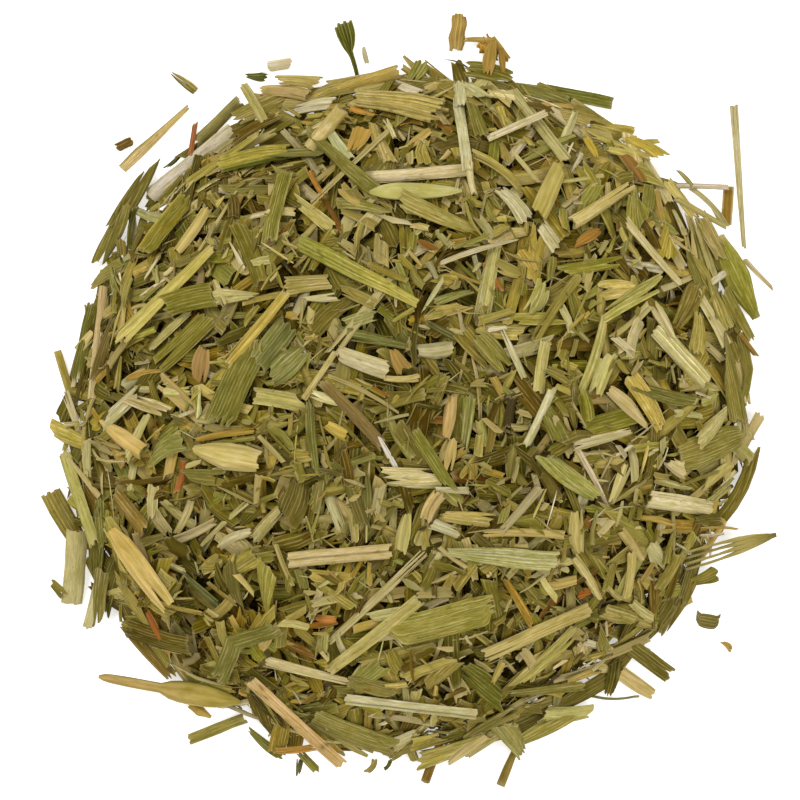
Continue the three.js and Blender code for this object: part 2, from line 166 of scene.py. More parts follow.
# %% A socket that can be added and multiplied
class Value:
    """A number that varies over a surface: an output socket with the usual operators."""

    def __init__(self, finish, socket):
        self.finish, self.socket = finish, socket

    def _math(self, operation, *terms, clamp=False):
        inputs = dict(enumerate(terms))
        return self.finish.node("ShaderNodeMath", {"operation": operation, "use_clamp": clamp}, inputs)

    def __add__(self, other):
        return self._math("ADD", self, other)

    def __sub__(self, other):
        return self._math("SUBTRACT", self, other)

    def __rsub__(self, other):
        return self._math("SUBTRACT", other, self)

    def __mul__(self, other):
        return self._math("MULTIPLY", self, other)

    def __pow__(self, other):
        return self._math("POWER", self, other)

    def __abs__(self):
        return self._math("ABSOLUTE", self)

    def sine(self):
        return self._math("SINE", self)

    def step(self, low_edge, high_edge):
        """0 below low_edge, 1 above high_edge, and a smooth rise between them."""
        settings = {"interpolation_type": "SMOOTHSTEP"}
        return self.finish.node("ShaderNodeMapRange", settings, {0: self, 1: low_edge, 2: high_edge})

    __radd__ = __add__
    __rmul__ = __mul__


# %% A finish that builds its own nodes
class Finish:
    """A material under construction. node() adds any node: its type, settings and inputs."""

    def __init__(self, name, **constants):
        self.material = bpy.data.materials.new(name)
        self.material.use_nodes = True
        self.tree = self.material.node_tree
        self.shader = self.tree.nodes["Principled BSDF"]
        for socket, value in constants.items():
            self.shader.inputs[socket.replace("_", " ")].default_value = value

    def node(self, kind, settings=None, inputs=None, output=0):
        made = self.tree.nodes.new(kind)
        for name, value in (settings or {}).items():
            setattr(made, name, value)
        for name, value in (inputs or {}).items():
            if isinstance(value, Value):
                self.tree.links.new(value.socket, made.inputs[name])
            else:
                made.inputs[name].default_value = value
        return Value(self, made.outputs[output])

    def attribute(self, name, output):
        return self.node("ShaderNodeAttribute", {"attribute_name": name}, output=output)

    def parts(self, vector):
        """The three numbers of a vector."""
        return [self.node("ShaderNodeSeparateXYZ", inputs={0: vector}, output=i) for i in range(3)]

    def vector(self, x, y, z):
        return self.node("ShaderNodeCombineXYZ", inputs={0: x, 1: y, 2: z})

    def noise(self, vector, scale, detail=2.0, roughness=0.5):
        inputs = {"Vector": vector, "Scale": scale, "Detail": detail, "Roughness": roughness}
        return self.node("ShaderNodeTexNoise", inputs=inputs)

    def mix(self, share, first, second, blend="MIX"):
        settings = {"data_type": "RGBA", "blend_type": blend}
        return self.node("ShaderNodeMix", settings, {0: share, 6: first, 7: second}, output=2)

    def set(self, socket, value):
        self.tree.links.new(value.socket, self.shader.inputs[socket])

    def bump(self, height, strength, distance):
        inputs = {"Height": height, "Strength": strength, "Distance": distance}
        self.set("Normal", self.node("ShaderNodeBump", inputs=inputs))


print("shader tools ready")

# %% [markdown]
# ## The finishes
#
# All the finishes are of one family, because all the cuts come from one plant. Every cut carries a
# colour of its own, the attribute `tint`. Its finish adds what runs along the cut: the veins of a
# leaf, the fine fibres of a stem, the dust and the stains. These patterns follow each cut, so they
# read its own map, `grain`, in millimetres along and across it. A second attribute, `place`, says
# how far along and across the cut a point is, and whether it is on the cut's inner side.


# %% What each finish reads
class PlantFinish(Finish):
    """A finish that reads the maps of the cuts: along and across in mm, the ends, edges and inner
    side, and each cut's own colour, tint."""

    def __init__(self, name, **constants):
        super().__init__(name, **constants)
        self.along, self.across, _ = self.parts(self.node("ShaderNodeUVMap", {"uv_map": "grain"}))
        end, edge, self.inner = self.parts(self.attribute("place", 1))
        self.end, self.edge = abs(end), abs(edge)
        self.tint = self.attribute("tint", 0)

    def pattern(self, along, across, inner, start=0, detail=3.0, roughness=0.6):
        """A noise with so many changes in a millimetre along and across the cut. Its third place is
        inner on the cut's inner side and 0 on the outer, plus start: it keeps patterns apart."""
        where = self.vector(self.along * along, self.across * across, self.inner * inner + start)
        return self.noise(where, 1.0, detail, roughness)

    def lit(self, light):
        """The cut's own colour times a light. Where it darkens it also browns, as blue falls the
        fastest."""
        factor = self.node("ShaderNodeCombineColor", inputs={0: light, 1: light ** 1.06, 2: light ** 2.4})
        return self.mix(1.0, self.tint, factor, "MULTIPLY")


def around_one(noise, strength):
    """Turns a noise, which lies round a half, into a factor that lies round one."""
    return (noise - 0.5) * strength + 1.0


PITH = (0.46, 0.37, 0.17, 1)
print("readings: grain, place, tint")

# %% [markdown]
# Stem: a dry oat stem is smooth and pale, with parallel fibres, a few darker lines where it
# creased as it dried, and here and there a brown stain. Its inner side is lined with whitish pith,
# and so are its torn ends. The fibres are a noise that is stretched a long way along the cut.


# %% Stem finish
def stem_finish():
    f = PlantFinish("straw_stem", Roughness=0.65, Specular_IOR_Level=0.03)
    fibres = f.pattern(0.22, 2.8, inner=9, roughness=0.65)
    flecks = f.pattern(0.9, 3.6, inner=9, start=5, detail=2.0)
    bands = f.pattern(0.05, 1.1, inner=5, detail=1.0, roughness=0.5)
    patches = f.pattern(0.25, 0.5, inner=4, start=60)
    creases = f.pattern(0.12, 3.0, inner=7, start=20, detail=1.0, roughness=0.5).step(0.61, 0.68)
    stain = f.pattern(0.45, 1.3, inner=3, start=40)
    light = around_one(fibres, 1.05) * around_one(flecks, 0.6) * around_one(bands, 0.3)
    colour = f.lit(light * around_one(patches, 0.5))
    colour = f.mix(f.inner * 0.4, colour, PITH)
    colour = f.mix(f.end.step(0.8, 1.0) * 0.35, colour, PITH)
    colour = f.mix(patches.step(0.5, 0.68) * 0.3, colour, (0.95, 0.82, 0.46, 1), "MULTIPLY")
    colour = f.mix(creases * 0.32, colour, (0.10, 0.055, 0.012, 1))
    colour = f.mix(stain.step(0.60, 0.76) * 0.55, colour, (0.14, 0.065, 0.012, 1))
    f.set("Base Color", colour)
    f.set("Roughness", 0.5 + fibres * 0.3)
    f.bump(fibres + flecks * 0.5 - creases, 0.6, 0.00009)
    return f.material


# %% [markdown]
# Leaf: an oat leaf's veins run side by side along the blade, about two to a millimetre. On the
# dry leaf they stand up as pale ridges, with green or brown tissue sunk between them. A sine across
# the cut gives the ridges. Its highest part is narrow, because the veins are, and noise makes some
# veins paler than others. Much finer fibres fill the space between.

# %% Leaf finish
VEINS_PER_MM = 1.9


def leaf_finish():
    f = PlantFinish("dry_leaf", Roughness=0.7, Specular_IOR_Level=0.02)
    ridge = (f.across * (VEINS_PER_MM * FULL_TURN)).sine() * 0.5 + 0.5
    fibres = f.pattern(0.28, 3.2, inner=7, roughness=0.65)
    flecks = f.pattern(1.0, 3.8, inner=7, start=5, detail=2.0)
    strength = f.pattern(0.25, 1.0, inner=5, detail=2.0, roughness=0.5)
    patches = f.pattern(0.22, 0.45, inner=4, start=60)
    blotch = f.pattern(0.4, 1.0, inner=2, start=30)
    veins = (ridge ** 5.0) * strength.step(0.36, 0.62)
    light = around_one(fibres, 1.25) * around_one(flecks, 0.8) * around_one(patches, 0.8)
    colour = f.lit(light * (0.86 + veins * 0.5))
    colour = f.mix(veins * 0.26, colour, (0.48, 0.41, 0.18, 1))
    colour = f.mix(f.inner * 0.2, colour, (0.24, 0.20, 0.07, 1))
    colour = f.mix(patches.step(0.48, 0.66) * 0.4, colour, (1.0, 0.82, 0.52, 1), "MULTIPLY")
    colour = f.mix(blotch.step(0.58, 0.76) * 0.5, colour, (0.07, 0.042, 0.008, 1))
    colour = f.mix(f.end.step(0.86, 1.0) * 0.2, colour, PITH)
    f.set("Base Color", colour)
    f.set("Roughness", 0.6 + fibres * 0.3)
    f.bump(veins * 0.6 + fibres * 0.7 + flecks * 0.3, 0.6, 0.0001)
    return f.material


# %% [markdown]
# Husk: the husks round the grain are thin, stiff and golden, with a few faint nerves. Towards
# their edges they turn pale and papery.


# %% Husk finish
def husk_finish():
    f = PlantFinish("gold_husk", Roughness=0.55, Specular_IOR_Level=0.06)
    nerves = f.pattern(0.22, 2.8, inner=6, roughness=0.65)
    blush = f.pattern(0.2, 0.5, inner=4)
    colour = f.lit(around_one(nerves, 1.1) * around_one(blush, 0.6))
    colour = f.mix(f.edge.step(0.7, 1.0) * 0.25, colour, PITH)
    colour = f.mix(blush.step(0.52, 0.72) * 0.4, colour, (0.92, 0.80, 0.48, 1), "MULTIPLY")
    f.set("Base Color", colour)
    f.set("Roughness", 0.45 + nerves * 0.3)
    f.bump(nerves, 0.4, 0.0001)
    return f.material


# %% [markdown]
# Inside: what shows through the deepest gaps is the imported inside of the heap. It is given a
# dark mottled brown: painted shade for the gaps that little light reaches, not the colour of the
# straw. It has no cuts of its own to follow, so its pattern is fixed in the heap's own space.


# %% Inside finish
def inside_painted_shade_finish():
    f = Finish("packed_inside_painted_shade", Roughness=0.9, Specular_IOR_Level=0.1)
    place = f.node("ShaderNodeTexCoord", output=3)
    speckle = f.noise(place, 900.0, 4.0, 0.7)
    # painted shade: the inside is coloured dark brown, as the gaps over it lie in shadow
    colour = f.mix(speckle.step(0.35, 0.7), (0.035, 0.022, 0.006, 1), (0.20, 0.14, 0.045, 1))
    f.set("Base Color", colour)
    f.bump(speckle, 1.0, 0.0006)
    return f.material


FINISHES = {"stem": stem_finish(), "leaf": leaf_finish(), "husk": husk_finish(), "inside": inside_painted_shade_finish()}
print("finishes:", sorted(FINISHES))

# %% [markdown]
# ## One shape for every cut
#
# A split stem, a strip of leaf, a husk and a splinter look different, but a maker can describe them
# all in the same way: take a centre line, carry a curved band along it, and let the band's width
# change on the way. The band has an outer and an inner side, so each cut is a closed thin shell
# with square or ragged ends. The shapes are worked out for a whole batch of cuts at once: the first
# axis of every array counts the cuts.


# %% Carry a band along each centre line
def band_shells(line, side, up, half_width, arc, thick, across_steps, rise=0.0, ends=None):
    """Closed shells of cuts, as points in the order (cut, round the section, along, xyz).

    line, side and up are (cut, along, xyz): the centre line, and the directions across and up at
    each of its points. The band's section is an arc that spans the angle arc. With w the half
    width, its radius is r = w / sin(arc / 2), or w for more than a half circle. A point at the
    share t from -1 to 1 across the section is r sin(t arc / 2) to the side and
    r cos(t arc / 2) - r cos(arc / 2) up. The inner side is the same arc with the radius
    r - thick. rise (cut, t, along) is added to the outer radius. ends (cut, 2, t) moves the two
    ends of each line of points along the cut, and the points between them in proportion.
    """
    t = np.linspace(-1, 1, across_steps)[None, :, None]
    half_arc = arc[:, None, None] / 2
    radius = half_width[:, None, :] / np.sin(np.minimum(half_arc, math.pi / 2))
    foot = radius * np.cos(half_arc)
    outer = radius + rise
    inner = np.maximum(radius - thick[:, None, None], 0.35 * radius)
    y = np.concatenate([outer * np.sin(t * half_arc), (inner * np.sin(t * half_arc))[:, ::-1]], 1)
    z = np.concatenate([outer * np.cos(t * half_arc), (inner * np.cos(t * half_arc))[:, ::-1]], 1)
    z = z - foot
    points = line[:, None] + y[..., None] * side[:, None] + z[..., None] * up[:, None]
    if ends is not None:
        forward = line[:, -1] - line[:, 0]
        forward = (forward / np.linalg.norm(forward, axis=1, keepdims=True))[:, None, None]
        both = np.concatenate([ends, ends[:, :, ::-1]], 2)
        u = np.linspace(0, 1, line.shape[1])
        shift = both[:, 0, :, None] * (1 - u) + both[:, 1, :, None] * u
        points = points + shift[..., None] * forward
    return points


# %% [markdown]
# A grain in its hull, a stalk and a thread are solid, with an oval section instead of a band. Their
# points go round in the same order, first over the top and then back under the bottom, so they use
# the same faces as a band.


# %% Carry an oval along each centre line
def solid_shells(line, side, up, half_width, half_height, across_steps, rise=0.0):
    """Closed rods and spindles, in the same order as band_shells. A point at the angle a round the
    section is half_width cos(a) to the side and half_height sin(a) up."""
    a = math.pi - (np.arange(2 * across_steps) + 0.5) * math.pi / across_steps
    a = a[None, :, None]
    y = (half_width[:, None, :] + rise) * np.cos(a)
    z = (half_height[:, None, :] + rise) * np.sin(a)
    return line[:, None] + y[..., None] * side[:, None] + z[..., None] * up[:, None]


def shell_faces(across_steps, along_steps):
    """The four corners of each face of one shell, as (section index, along index) pairs."""
    loop = 2 * across_steps
    j, i = (a.ravel() for a in np.meshgrid(np.arange(loop), np.arange(along_steps - 1), indexing="ij"))
    walls_j = np.stack([j, j, j + 1, j + 1], 1)
    walls_i = np.stack([i, i + 1, i + 1, i], 1)
    j = np.arange(across_steps - 1)
    other = loop - 1 - j
    first_j = np.stack([j, j + 1, other - 1, other], 1)
    last_j = first_j[:, ::-1]
    zero = np.zeros_like(first_j)
    faces_j = np.concatenate([walls_j, first_j, last_j])
    faces_i = np.concatenate([walls_i, zero, zero + along_steps - 1])
    return faces_j, faces_i


print("faces of a small cut:", len(shell_faces(3, 4)[0]))

# %% [markdown]
# A band's faces are the same for every cut of a batch, so the mesh of thousands of cuts is one
# array of points and one array of corners. Two maps go with it. `grain` is in millimetres and
# carries the patterns. `OFBake` gives each cut a cell of its own in a square picture, with the
# section rolled out flat, so that the finish can be baked.


# %% Each cut's cell in the baked picture
END_MARGIN, SIDE_MARGIN = 0.09, 0.04
CAP_WIDTH = 0.05
CELL_RATIO = 2.2


def atlas(count, faces_j, faces_i, along_steps, across_steps):
    """Each face corner's place in the picture: the walls fill the cell, the ends lie beside them."""
    columns = max(1, round(math.sqrt(count / CELL_RATIO)))
    rows = math.ceil(count / columns)
    loop = 2 * across_steps
    u = faces_i / (along_steps - 1)
    v = faces_j / loop
    walls = loop * (along_steps - 1)
    caps = across_steps - 1
    j = np.arange(caps)
    outwards = np.array([0.0, 0.0, -CAP_WIDTH, -CAP_WIDTH])
    cap_v = np.stack([j, j + 1, j + 1, j], 1) / loop
    u[walls : walls + caps] = outwards
    u[walls + caps :] = 1 - outwards[::-1]
    v[walls:] = np.concatenate([cap_v, cap_v])
    u = END_MARGIN + (1 - 2 * END_MARGIN) * u
    v = SIDE_MARGIN + (1 - 2 * SIDE_MARGIN) * v
    cell = np.arange(count)[:, None, None]
    return np.stack([(cell % columns + u) / columns, (cell // columns + v) / rows], -1)


# %% Put a batch of shells into one mesh
CREASE = math.radians(48)


def fill(data, field, values, kind=np.float32):
    data.foreach_set(field, np.asarray(values, kind).ravel())


def round_section(across_steps):
    """The share across, from -1 to 1 over the outer side and back under the inner side."""
    t = np.linspace(-1, 1, across_steps)
    return np.concatenate([t, t[::-1]])[:, None]


def write_mesh(name, points, finish, tint, grain_along, grain_across):
    """Makes an object of a batch of shells. points are (cut, section, along, xyz) in mm, tint is
    light values in the same order, and the two grains are in mm for each point."""
    count, loop, along_steps, _ = points.shape
    across_steps = loop // 2
    faces_j, faces_i = shell_faces(across_steps, along_steps)
    corner = (faces_j % loop) * along_steps + faces_i
    corners = (np.arange(count)[:, None, None] * (loop * along_steps) + corner).reshape(-1, 4)
    mesh = bpy.data.meshes.new(name)
    mesh.vertices.add(points.size // 3)
    mesh.loops.add(corners.size)
    mesh.polygons.add(len(corners))
    fill(mesh.vertices, "co", points * MM)
    fill(mesh.loops, "vertex_index", corners, np.int32)
    fill(mesh.polygons, "loop_start", np.arange(0, corners.size, 4), np.int32)
    fill(mesh.polygons, "use_smooth", np.ones(len(corners)), bool)

    def stacked(*fields):
        return np.stack([np.broadcast_to(field, points.shape[:3]) for field in fields], -1)

    inner = (np.arange(loop) >= across_steps)[:, None]
    place = stacked(np.linspace(-1, 1, along_steps), round_section(across_steps), inner)
    colours = stacked(tint[..., 0], tint[..., 1], tint[..., 2], 1.0)
    grain = stacked(grain_along, grain_across).reshape(-1, 2)[corners]
    bake = atlas(count, faces_j.astype(float), faces_i.astype(float), along_steps, across_steps)
    fill(mesh.attributes.new("place", "FLOAT_VECTOR", "POINT").data, "vector", place)
    fill(mesh.attributes.new("tint", "FLOAT_COLOR", "POINT").data, "color", colours)
    fill(mesh.uv_layers.new(name="grain").data, "uv", grain)
    fill(mesh.uv_layers.new(name="OFBake").data, "uv", bake)

    mesh.update(calc_edges=True)
    mesh.validate()
    mesh.set_sharp_from_angle(angle=CREASE)
    mesh.materials.append(FINISHES[finish])
    piece = in_scene(name, mesh)
    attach(piece, "root")
    return piece


print("mesh writer ready")

# %% [markdown]
# ## Where the heap is
#
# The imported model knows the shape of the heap. To lay cuts on it, it is easiest to turn solids into
# height maps: a square grid over the table, where each cell holds a height. Points are thrown
# evenly over a solid's faces, and each cell keeps the highest one, or the lowest one for the
# underside of a cut that lies there.

# %% Points on a solid's faces
CELL = 0.4
REACH = 74.0
CELLS = int(2 * REACH / CELL) + 1
map_y, map_x = np.mgrid[0:CELLS, 0:CELLS] * CELL - REACH
rng = np.random.default_rng(7)


def triangles(name):
    """The three corners of each triangle of a node, in mm."""
    mesh = nodes[name].data
    mesh.calc_loop_triangles()
    points = np.empty(len(mesh.vertices) * 3)
    mesh.vertices.foreach_get("co", points)
    corners = np.empty(len(mesh.loop_triangles) * 3, np.int32)
    mesh.loop_triangles.foreach_get("vertices", corners)
    return points.reshape(-1, 3)[corners].reshape(-1, 3, 3) / MM


def thrown_on(name, per_mm2):
    """Points spread evenly over a node's faces: more of them on a larger triangle."""
    corners = triangles(name)
    area = np.linalg.norm(np.cross(corners[:, 1] - corners[:, 0], corners[:, 2] - corners[:, 0]), axis=1) / 2
    count = int(area.sum() * per_mm2)
    chosen = corners[rng.choice(len(corners), count, p=area / area.sum())]
    a, b = rng.random((2, count, 1))
    a, b = np.where(a + b > 1, 1 - a, a), np.where(a + b > 1, 1 - b, b)
    return chosen[:, 0] * (1 - a - b) + chosen[:, 1] * a + chosen[:, 2] * b


def cell_of(x, y):
    """The row and column of the cell under a point, kept inside the map."""
    row = np.clip(((np.asarray(y) + REACH) / CELL + 0.5).astype(int), 0, CELLS - 1)
    column = np.clip(((np.asarray(x) + REACH) / CELL + 0.5).astype(int), 0, CELLS - 1)
    return row, column


def smoothed(field, cells):
    """The mean over a square of cells round each cell, from running sums along both axes."""
    size = 2 * cells + 1
    for _ in range(2):
        sums = np.cumsum(np.pad(field, [(cells + 1, cells), (0, 0)], "edge"), 0)
        field = np.ascontiguousarray(((sums[size:] - sums[:-size]) / size).T)
    return field


# %% The mound's height map
mound_height = np.zeros((CELLS, CELLS))
points = thrown_on("packed_cuts", 40)
np.maximum.at(mound_height, cell_of(points[:, 0], points[:, 1]), points[:, 2])
on_mound = smoothed((mound_height > 0.4).astype(float), 2) > 0.5
envelope = smoothed(smoothed(mound_height, 5), 5) * on_mound
slope_y, slope_x = (smoothed(slope, 4) for slope in np.gradient(envelope, CELL))
print("mound:", round(envelope.max(), 1), "mm high, covers", int(on_mound.sum() * CELL * CELL), "mm2")

# %% The mound's outline
mound_low, mound_high = (np.array(corner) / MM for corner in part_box("packed_cuts"))
mound_middle = (mound_low + mound_high) / 2
spokes = np.arange(360) / 360 * FULL_TURN
reach = np.arange(30, REACH, CELL / 2)
on_spoke = on_mound[cell_of(mound_middle[0] + reach * np.cos(spokes)[:, None],
                            mound_middle[1] + reach * np.sin(spokes)[:, None])]
outline = reach[np.where(on_spoke, np.arange(len(reach)), 0).max(1)]
outline = np.convolve(np.tile(outline, 3), np.ones(9) / 9, "same")[360:720]
from_middle = (map_x - mound_middle[0]) + 1j * (map_y - mound_middle[1])
bearing = np.angle(from_middle) % FULL_TURN
share_map = abs(from_middle) / outline[(bearing / FULL_TURN * 360).astype(int) % 360]
print("mound's radius:", round(outline.min(), 1), "to", round(outline.max(), 1), "mm")

# %% The heights that the larger cuts leave free
FREE = 99.0
ceiling = np.full((CELLS, CELLS), FREE)
larger_tops = np.zeros((CELLS, CELLS))
larger_cuts = [name for name in nodes if name != "packed_cuts"]
for name in larger_cuts:
    points = thrown_on(name, 60)
    under = cell_of(points[:, 0], points[:, 1])
    np.minimum.at(ceiling, under, points[:, 2])
    np.maximum.at(larger_tops, under, points[:, 2])
for axis in (0, 1):
    for shift in (-1, 1):
        ceiling = np.minimum(ceiling, np.roll(ceiling, shift, axis))
print("cells under larger cuts:", int((ceiling < FREE).sum()))

# %% [markdown]
# ## Sowing the cuts
#
# A real heap makes itself: the cuts fall one by one, and each comes to rest on those below. The
# same is done here. `ground` is the height map of what lies there already. A cut is a stiff stick:
# across its width it takes the slope of the ground, and along its length it balances on two
# points, one on each side of its middle. It settles until it leans at most a little more than the
# heap's own side. Then the ground rises by the cut's own thickness. Long cuts bridge gaps, which
# gives the heap its deep dark pockets.

# %% How a cut comes to rest
CORE_DEPTH = 7.5
LEAN = 0.28
STEEPEST = 1.0
GIVE = 0.2
GAP = 0.05
TABLE_GAP = 0.02
STATIONS = 9
AHEAD = STATIONS // 2 + 1
ground = np.maximum(envelope - CORE_DEPTH, 0.0)
layers = np.zeros((CELLS, CELLS), int)


def lowest(length, width, pitch, roll):
    """The height of a cut's middle when its lowest corner is just over the table."""
    return GAP + abs(pitch) * length / 2 + abs(roll) * width / 2


def rest(x, y, turn, length, width):
    """The height of a cut's middle, its slopes along and across, and the room over it. Of all
    pairs of points, one on each side of the middle, the cut balances on the pair whose line passes
    highest over its middle, and it gives a little where it rests."""
    along = np.linspace(-length / 2, length / 2, STATIONS)
    across = np.linspace(-width / 2, width / 2, 3)
    cos, sin = math.cos(turn), math.sin(turn)
    row, column = cell_of(x + along[:, None] * cos - across * sin, y + along[:, None] * sin + across * cos)
    under = ground[row, column]
    slopes = slope_x[row, column].mean(), slope_y[row, column].mean()
    down_along, down_across = along_and_across(*slopes, turn)
    roll = (under * across).sum() / (STATIONS * (across**2).sum())
    roll = np.clip(np.clip(roll, down_across - LEAN, down_across + LEAN), -STEEPEST, STEEPEST)
    top = (under - roll * across).max(1)
    left, right = top[: AHEAD - 1, None], top[None, AHEAD:]
    s_left, s_right = along[: AHEAD - 1, None], along[None, AHEAD:]
    level = (left * s_right - right * s_left) / (s_right - s_left)
    behind, before = np.unravel_index(level.argmax(), level.shape)
    pitch = (top[AHEAD + before] - top[behind]) / (along[AHEAD + before] - along[behind])
    pitch = np.clip(np.clip(pitch, down_along - LEAN, down_along + LEAN), -STEEPEST, STEEPEST)
    clear = np.sort(top - pitch * along)[-2:]
    base = clear.mean() - GIVE
    room = ceiling[row, column] - (base + pitch * along[:, None] + roll * across)
    return max(base, lowest(length, width, pitch, roll)), pitch, roll, room.min()


def along_and_across(dx, dy, turn):
    """An offset on the table, or a slope, in the directions of a cut that is turned."""
    cos, sin = math.cos(turn), math.sin(turn)
    return dx * cos + dy * sin, dy * cos - dx * sin


def cover(x, y, turn, length, width, tall, base, pitch, roll):
    """Raises the ground to the top of a cut that has come to rest, and counts the cut in layers."""
    cos, sin = math.cos(turn), math.sin(turn)
    reach_x = (abs(cos) * length + abs(sin) * width) / 2
    reach_y = (abs(sin) * length + abs(cos) * width) / 2
    (r0, r1), (c0, c1) = cell_of([x - reach_x, x + reach_x], [y - reach_y, y + reach_y])
    near = np.s_[r0 : r1 + 1, c0 : c1 + 1]
    s, t = along_and_across(map_x[near] - x, map_y[near] - y, turn)
    on_it = (abs(s) <= length / 2) & (abs(t) <= width / 2)
    top = np.where(on_it, base + pitch * s + roll * t + tall, 0.0)
    ground[near] = np.maximum(ground[near], top)
    layers[near] += on_it


print("ground starts", round(ground.max(), 1), "mm high")

# %% [markdown]
# What the mixture is made of is read from a handful of it: for each kind of cut its share, its
# usual length and width, how curved its section is, and the colours that it comes in, each with a
# weight. Colours are written as a painter sees them, in sRGB, and turned into light values once.

# %% Colours of dry oat straw
SHADE = 0.80


def light_of(*colour):
    """The linear light values of a surface that is to look like an sRGB colour from 0 to 255.
    Light that has been from cut to cut comes back yellow, so dark colours are given less blue, and
    pale colours are held back a little, because they gather more light than the others."""
    c = np.array(colour, float) / 255
    warmth = np.array([1.035, 1.0, min(0.32 + 0.94 * c.mean(), 0.98)])
    warmth = warmth * (1 - 0.4 * max(c.mean() - 0.5, 0))
    return SHADE * np.where(c <= 0.04045, c / 12.92, ((c + 0.055) / 1.055) ** 2.4) * warmth


PALE, CREAM, STRAW, GOLD = (205, 194, 151), (191, 179, 122), (175, 160, 92), (181, 157, 84)
KHAKI, OLIVE, MOSS, GREEN = (152, 141, 76), (126, 117, 56), (104, 95, 45), (138, 135, 62)
SAGE, BARK, UMBER, RUST = (147, 143, 86), (106, 87, 40), (86, 70, 31), (147, 104, 52)
print("a leaf's light values:", light_of(*OLIVE).round(3))

# %% The mixture
MIXTURE = {
    "stem": dict(finish="stem", slot="straw", share=0.29, steps=(5, 6), length=7.0, spread=0.40, longest=15,
                 width=(0.8, 2.5), arc=(30, 120), thick=0.25, ends=0.45, torn=0.4, taper=(0.92, 1.0),
                 twist=0.1, bend=0.25, tints=[(PALE, 2.6), (CREAM, 4.8), (STRAW, 6), (KHAKI, 3),
                                              (BARK, 1.2), (GOLD, 1.6), (RUST, 0.12)]),
    "leaf": dict(finish="leaf", slot="leaf", share=0.28, steps=(5, 6), length=6.6, spread=0.40, longest=13,
                 width=(1.1, 3.4), arc=(6, 50), thick=0.14, ends=0.6, torn=0.5, taper=(0.85, 1.0),
                 twist=0.45, bend=1.0, tints=[(OLIVE, 4.5), (KHAKI, 5), (MOSS, 2.8), (GREEN, 1.1),
                                              (SAGE, 2), (GOLD, 0.8), (BARK, 1.7), (UMBER, 0.6)]),
    "sheath": dict(finish="leaf", slot="leaf", share=0.12, steps=(5, 6), length=6.6, spread=0.36, longest=13,
                   width=(1.4, 3.2), arc=(50, 110), thick=0.18, ends=0.4, torn=0.4, taper=(0.9, 1.0),
                   twist=0.3, bend=0.7, tints=[(KHAKI, 4), (STRAW, 4), (CREAM, 3), (OLIVE, 2), (GOLD, 1)]),
    "husk": dict(finish="husk", slot="husk", share=0.05, steps=(5, 7), length=5.6, spread=0.32, longest=10,
                 width=(1.1, 2.4), arc=(50, 110), thick=0.14, ends=0.3, torn=0.3, taper=(0.55, 1.0),
                 twist=0.15, bend=0.4, tints=[(GOLD, 4), (CREAM, 3), (STRAW, 3), (RUST, 0.9), (BARK, 0.5)]),
    "sliver": dict(finish="stem", slot="dry_stalk", share=0.18, steps=(5, 4), length=6.0, spread=0.42,
                   longest=14, width=(0.3, 0.85), arc=(20, 100), thick=0.15, ends=0.5, torn=0.5,
                   taper=(0.3, 0.9), twist=0.3, bend=0.8,
                   tints=[(PALE, 3), (CREAM, 5), (STRAW, 5), (KHAKI, 3), (OLIVE, 2), (BARK, 1.5),
                          (RUST, 0.6)]),
    "fibre": dict(finish="stem", slot="dry_stalk", share=0.08, steps=(5, 3), length=5.5, spread=0.45,
                  longest=13, width=(0.12, 0.28), arc=(60, 120), thick=0.1, ends=0.5, torn=0.3,
                  taper=(0.4, 0.9), twist=0.2, bend=1.2,
                  tints=[(PALE, 5), (CREAM, 4), (STRAW, 2), (KHAKI, 2), (BARK, 1)]),
}
print("kinds:", {kind: spec["share"] for kind, spec in MIXTURE.items()})


# %% Draw a handful
SHORTEST = 1.6
KINKED = 0.22
TURNED_OVER = 0.25


def handful(kind, count, scale=1.0):
    """Sizes, shapes and colours of a number of cuts of one kind, as arrays. arc is the angle that
    the section spans, tall is how high it stands over its edges. The ends, the taper, the twist, the
    bow to the side, the bend up and the kink are how a cut strays from a straight even strip."""
    spec = MIXTURE[kind]
    length = rng.lognormal(math.log(spec["length"]), spec["spread"], count).clip(SHORTEST, spec["longest"])
    length = length * scale
    width = np.minimum(rng.uniform(*spec["width"], count) * scale**0.7, length * 0.6)
    colours, weights = zip(*spec["tints"])
    chosen = rng.choice(len(colours), count, p=np.array(weights) / sum(weights))
    tint = np.array([light_of(*colour) for colour in colours])[chosen]
    tint = tint * rng.lognormal(0, 0.16, (count, 1)).clip(0.72, 1.22)
    tint = tint * rng.normal(1, 0.03, (count, 3)).clip(0.9, 1.1)
    arc = np.radians(rng.uniform(*spec["arc"], count))
    return dict(
        kind=np.full(count, kind), length=length, width=width, arc=arc, tint=tint,
        tall=width / 2 / np.sin(arc / 2) * (1 - np.cos(arc / 2)) + spec["thick"] * 0.5,
        thick=np.full(count, spec["thick"]) * rng.uniform(0.8, 1.25, count),
        ends=rng.normal(0, spec["ends"], (count, 2)), torn=np.full(count, spec["torn"]),
        taper=rng.uniform(*spec["taper"], (count, 2)),
        twist=rng.normal(0, spec["twist"], count).clip(-0.6, 0.6),
        bow=rng.normal(0, 0.024, count) * length,
        bend=rng.normal(0, 0.035 * spec["bend"], count) * length,
        kink=rng.normal(0, 0.07, count) * length * (rng.random(count) < KINKED),
        turned_over=rng.random(count) < TURNED_OVER, own=rng.random(count), chosen=np.zeros(count),
    )


def mixed(count, scale=1.0, kinds=tuple(MIXTURE)):
    """A mixed handful in a random order, of all kinds or only of some."""
    shares = np.array([spec["share"] * (kind in kinds) for kind, spec in MIXTURE.items()])
    counts = rng.multinomial(count, shares / shares.sum())
    parts = [handful(kind, n, scale) for kind, n in zip(MIXTURE, counts)]
    order = rng.permutation(count)
    return {key: np.concatenate([part[key] for part in parts])[order] for key in parts[0]}


print("a handful:", dict(zip(*np.unique(mixed(100)["kind"], return_counts=True))))

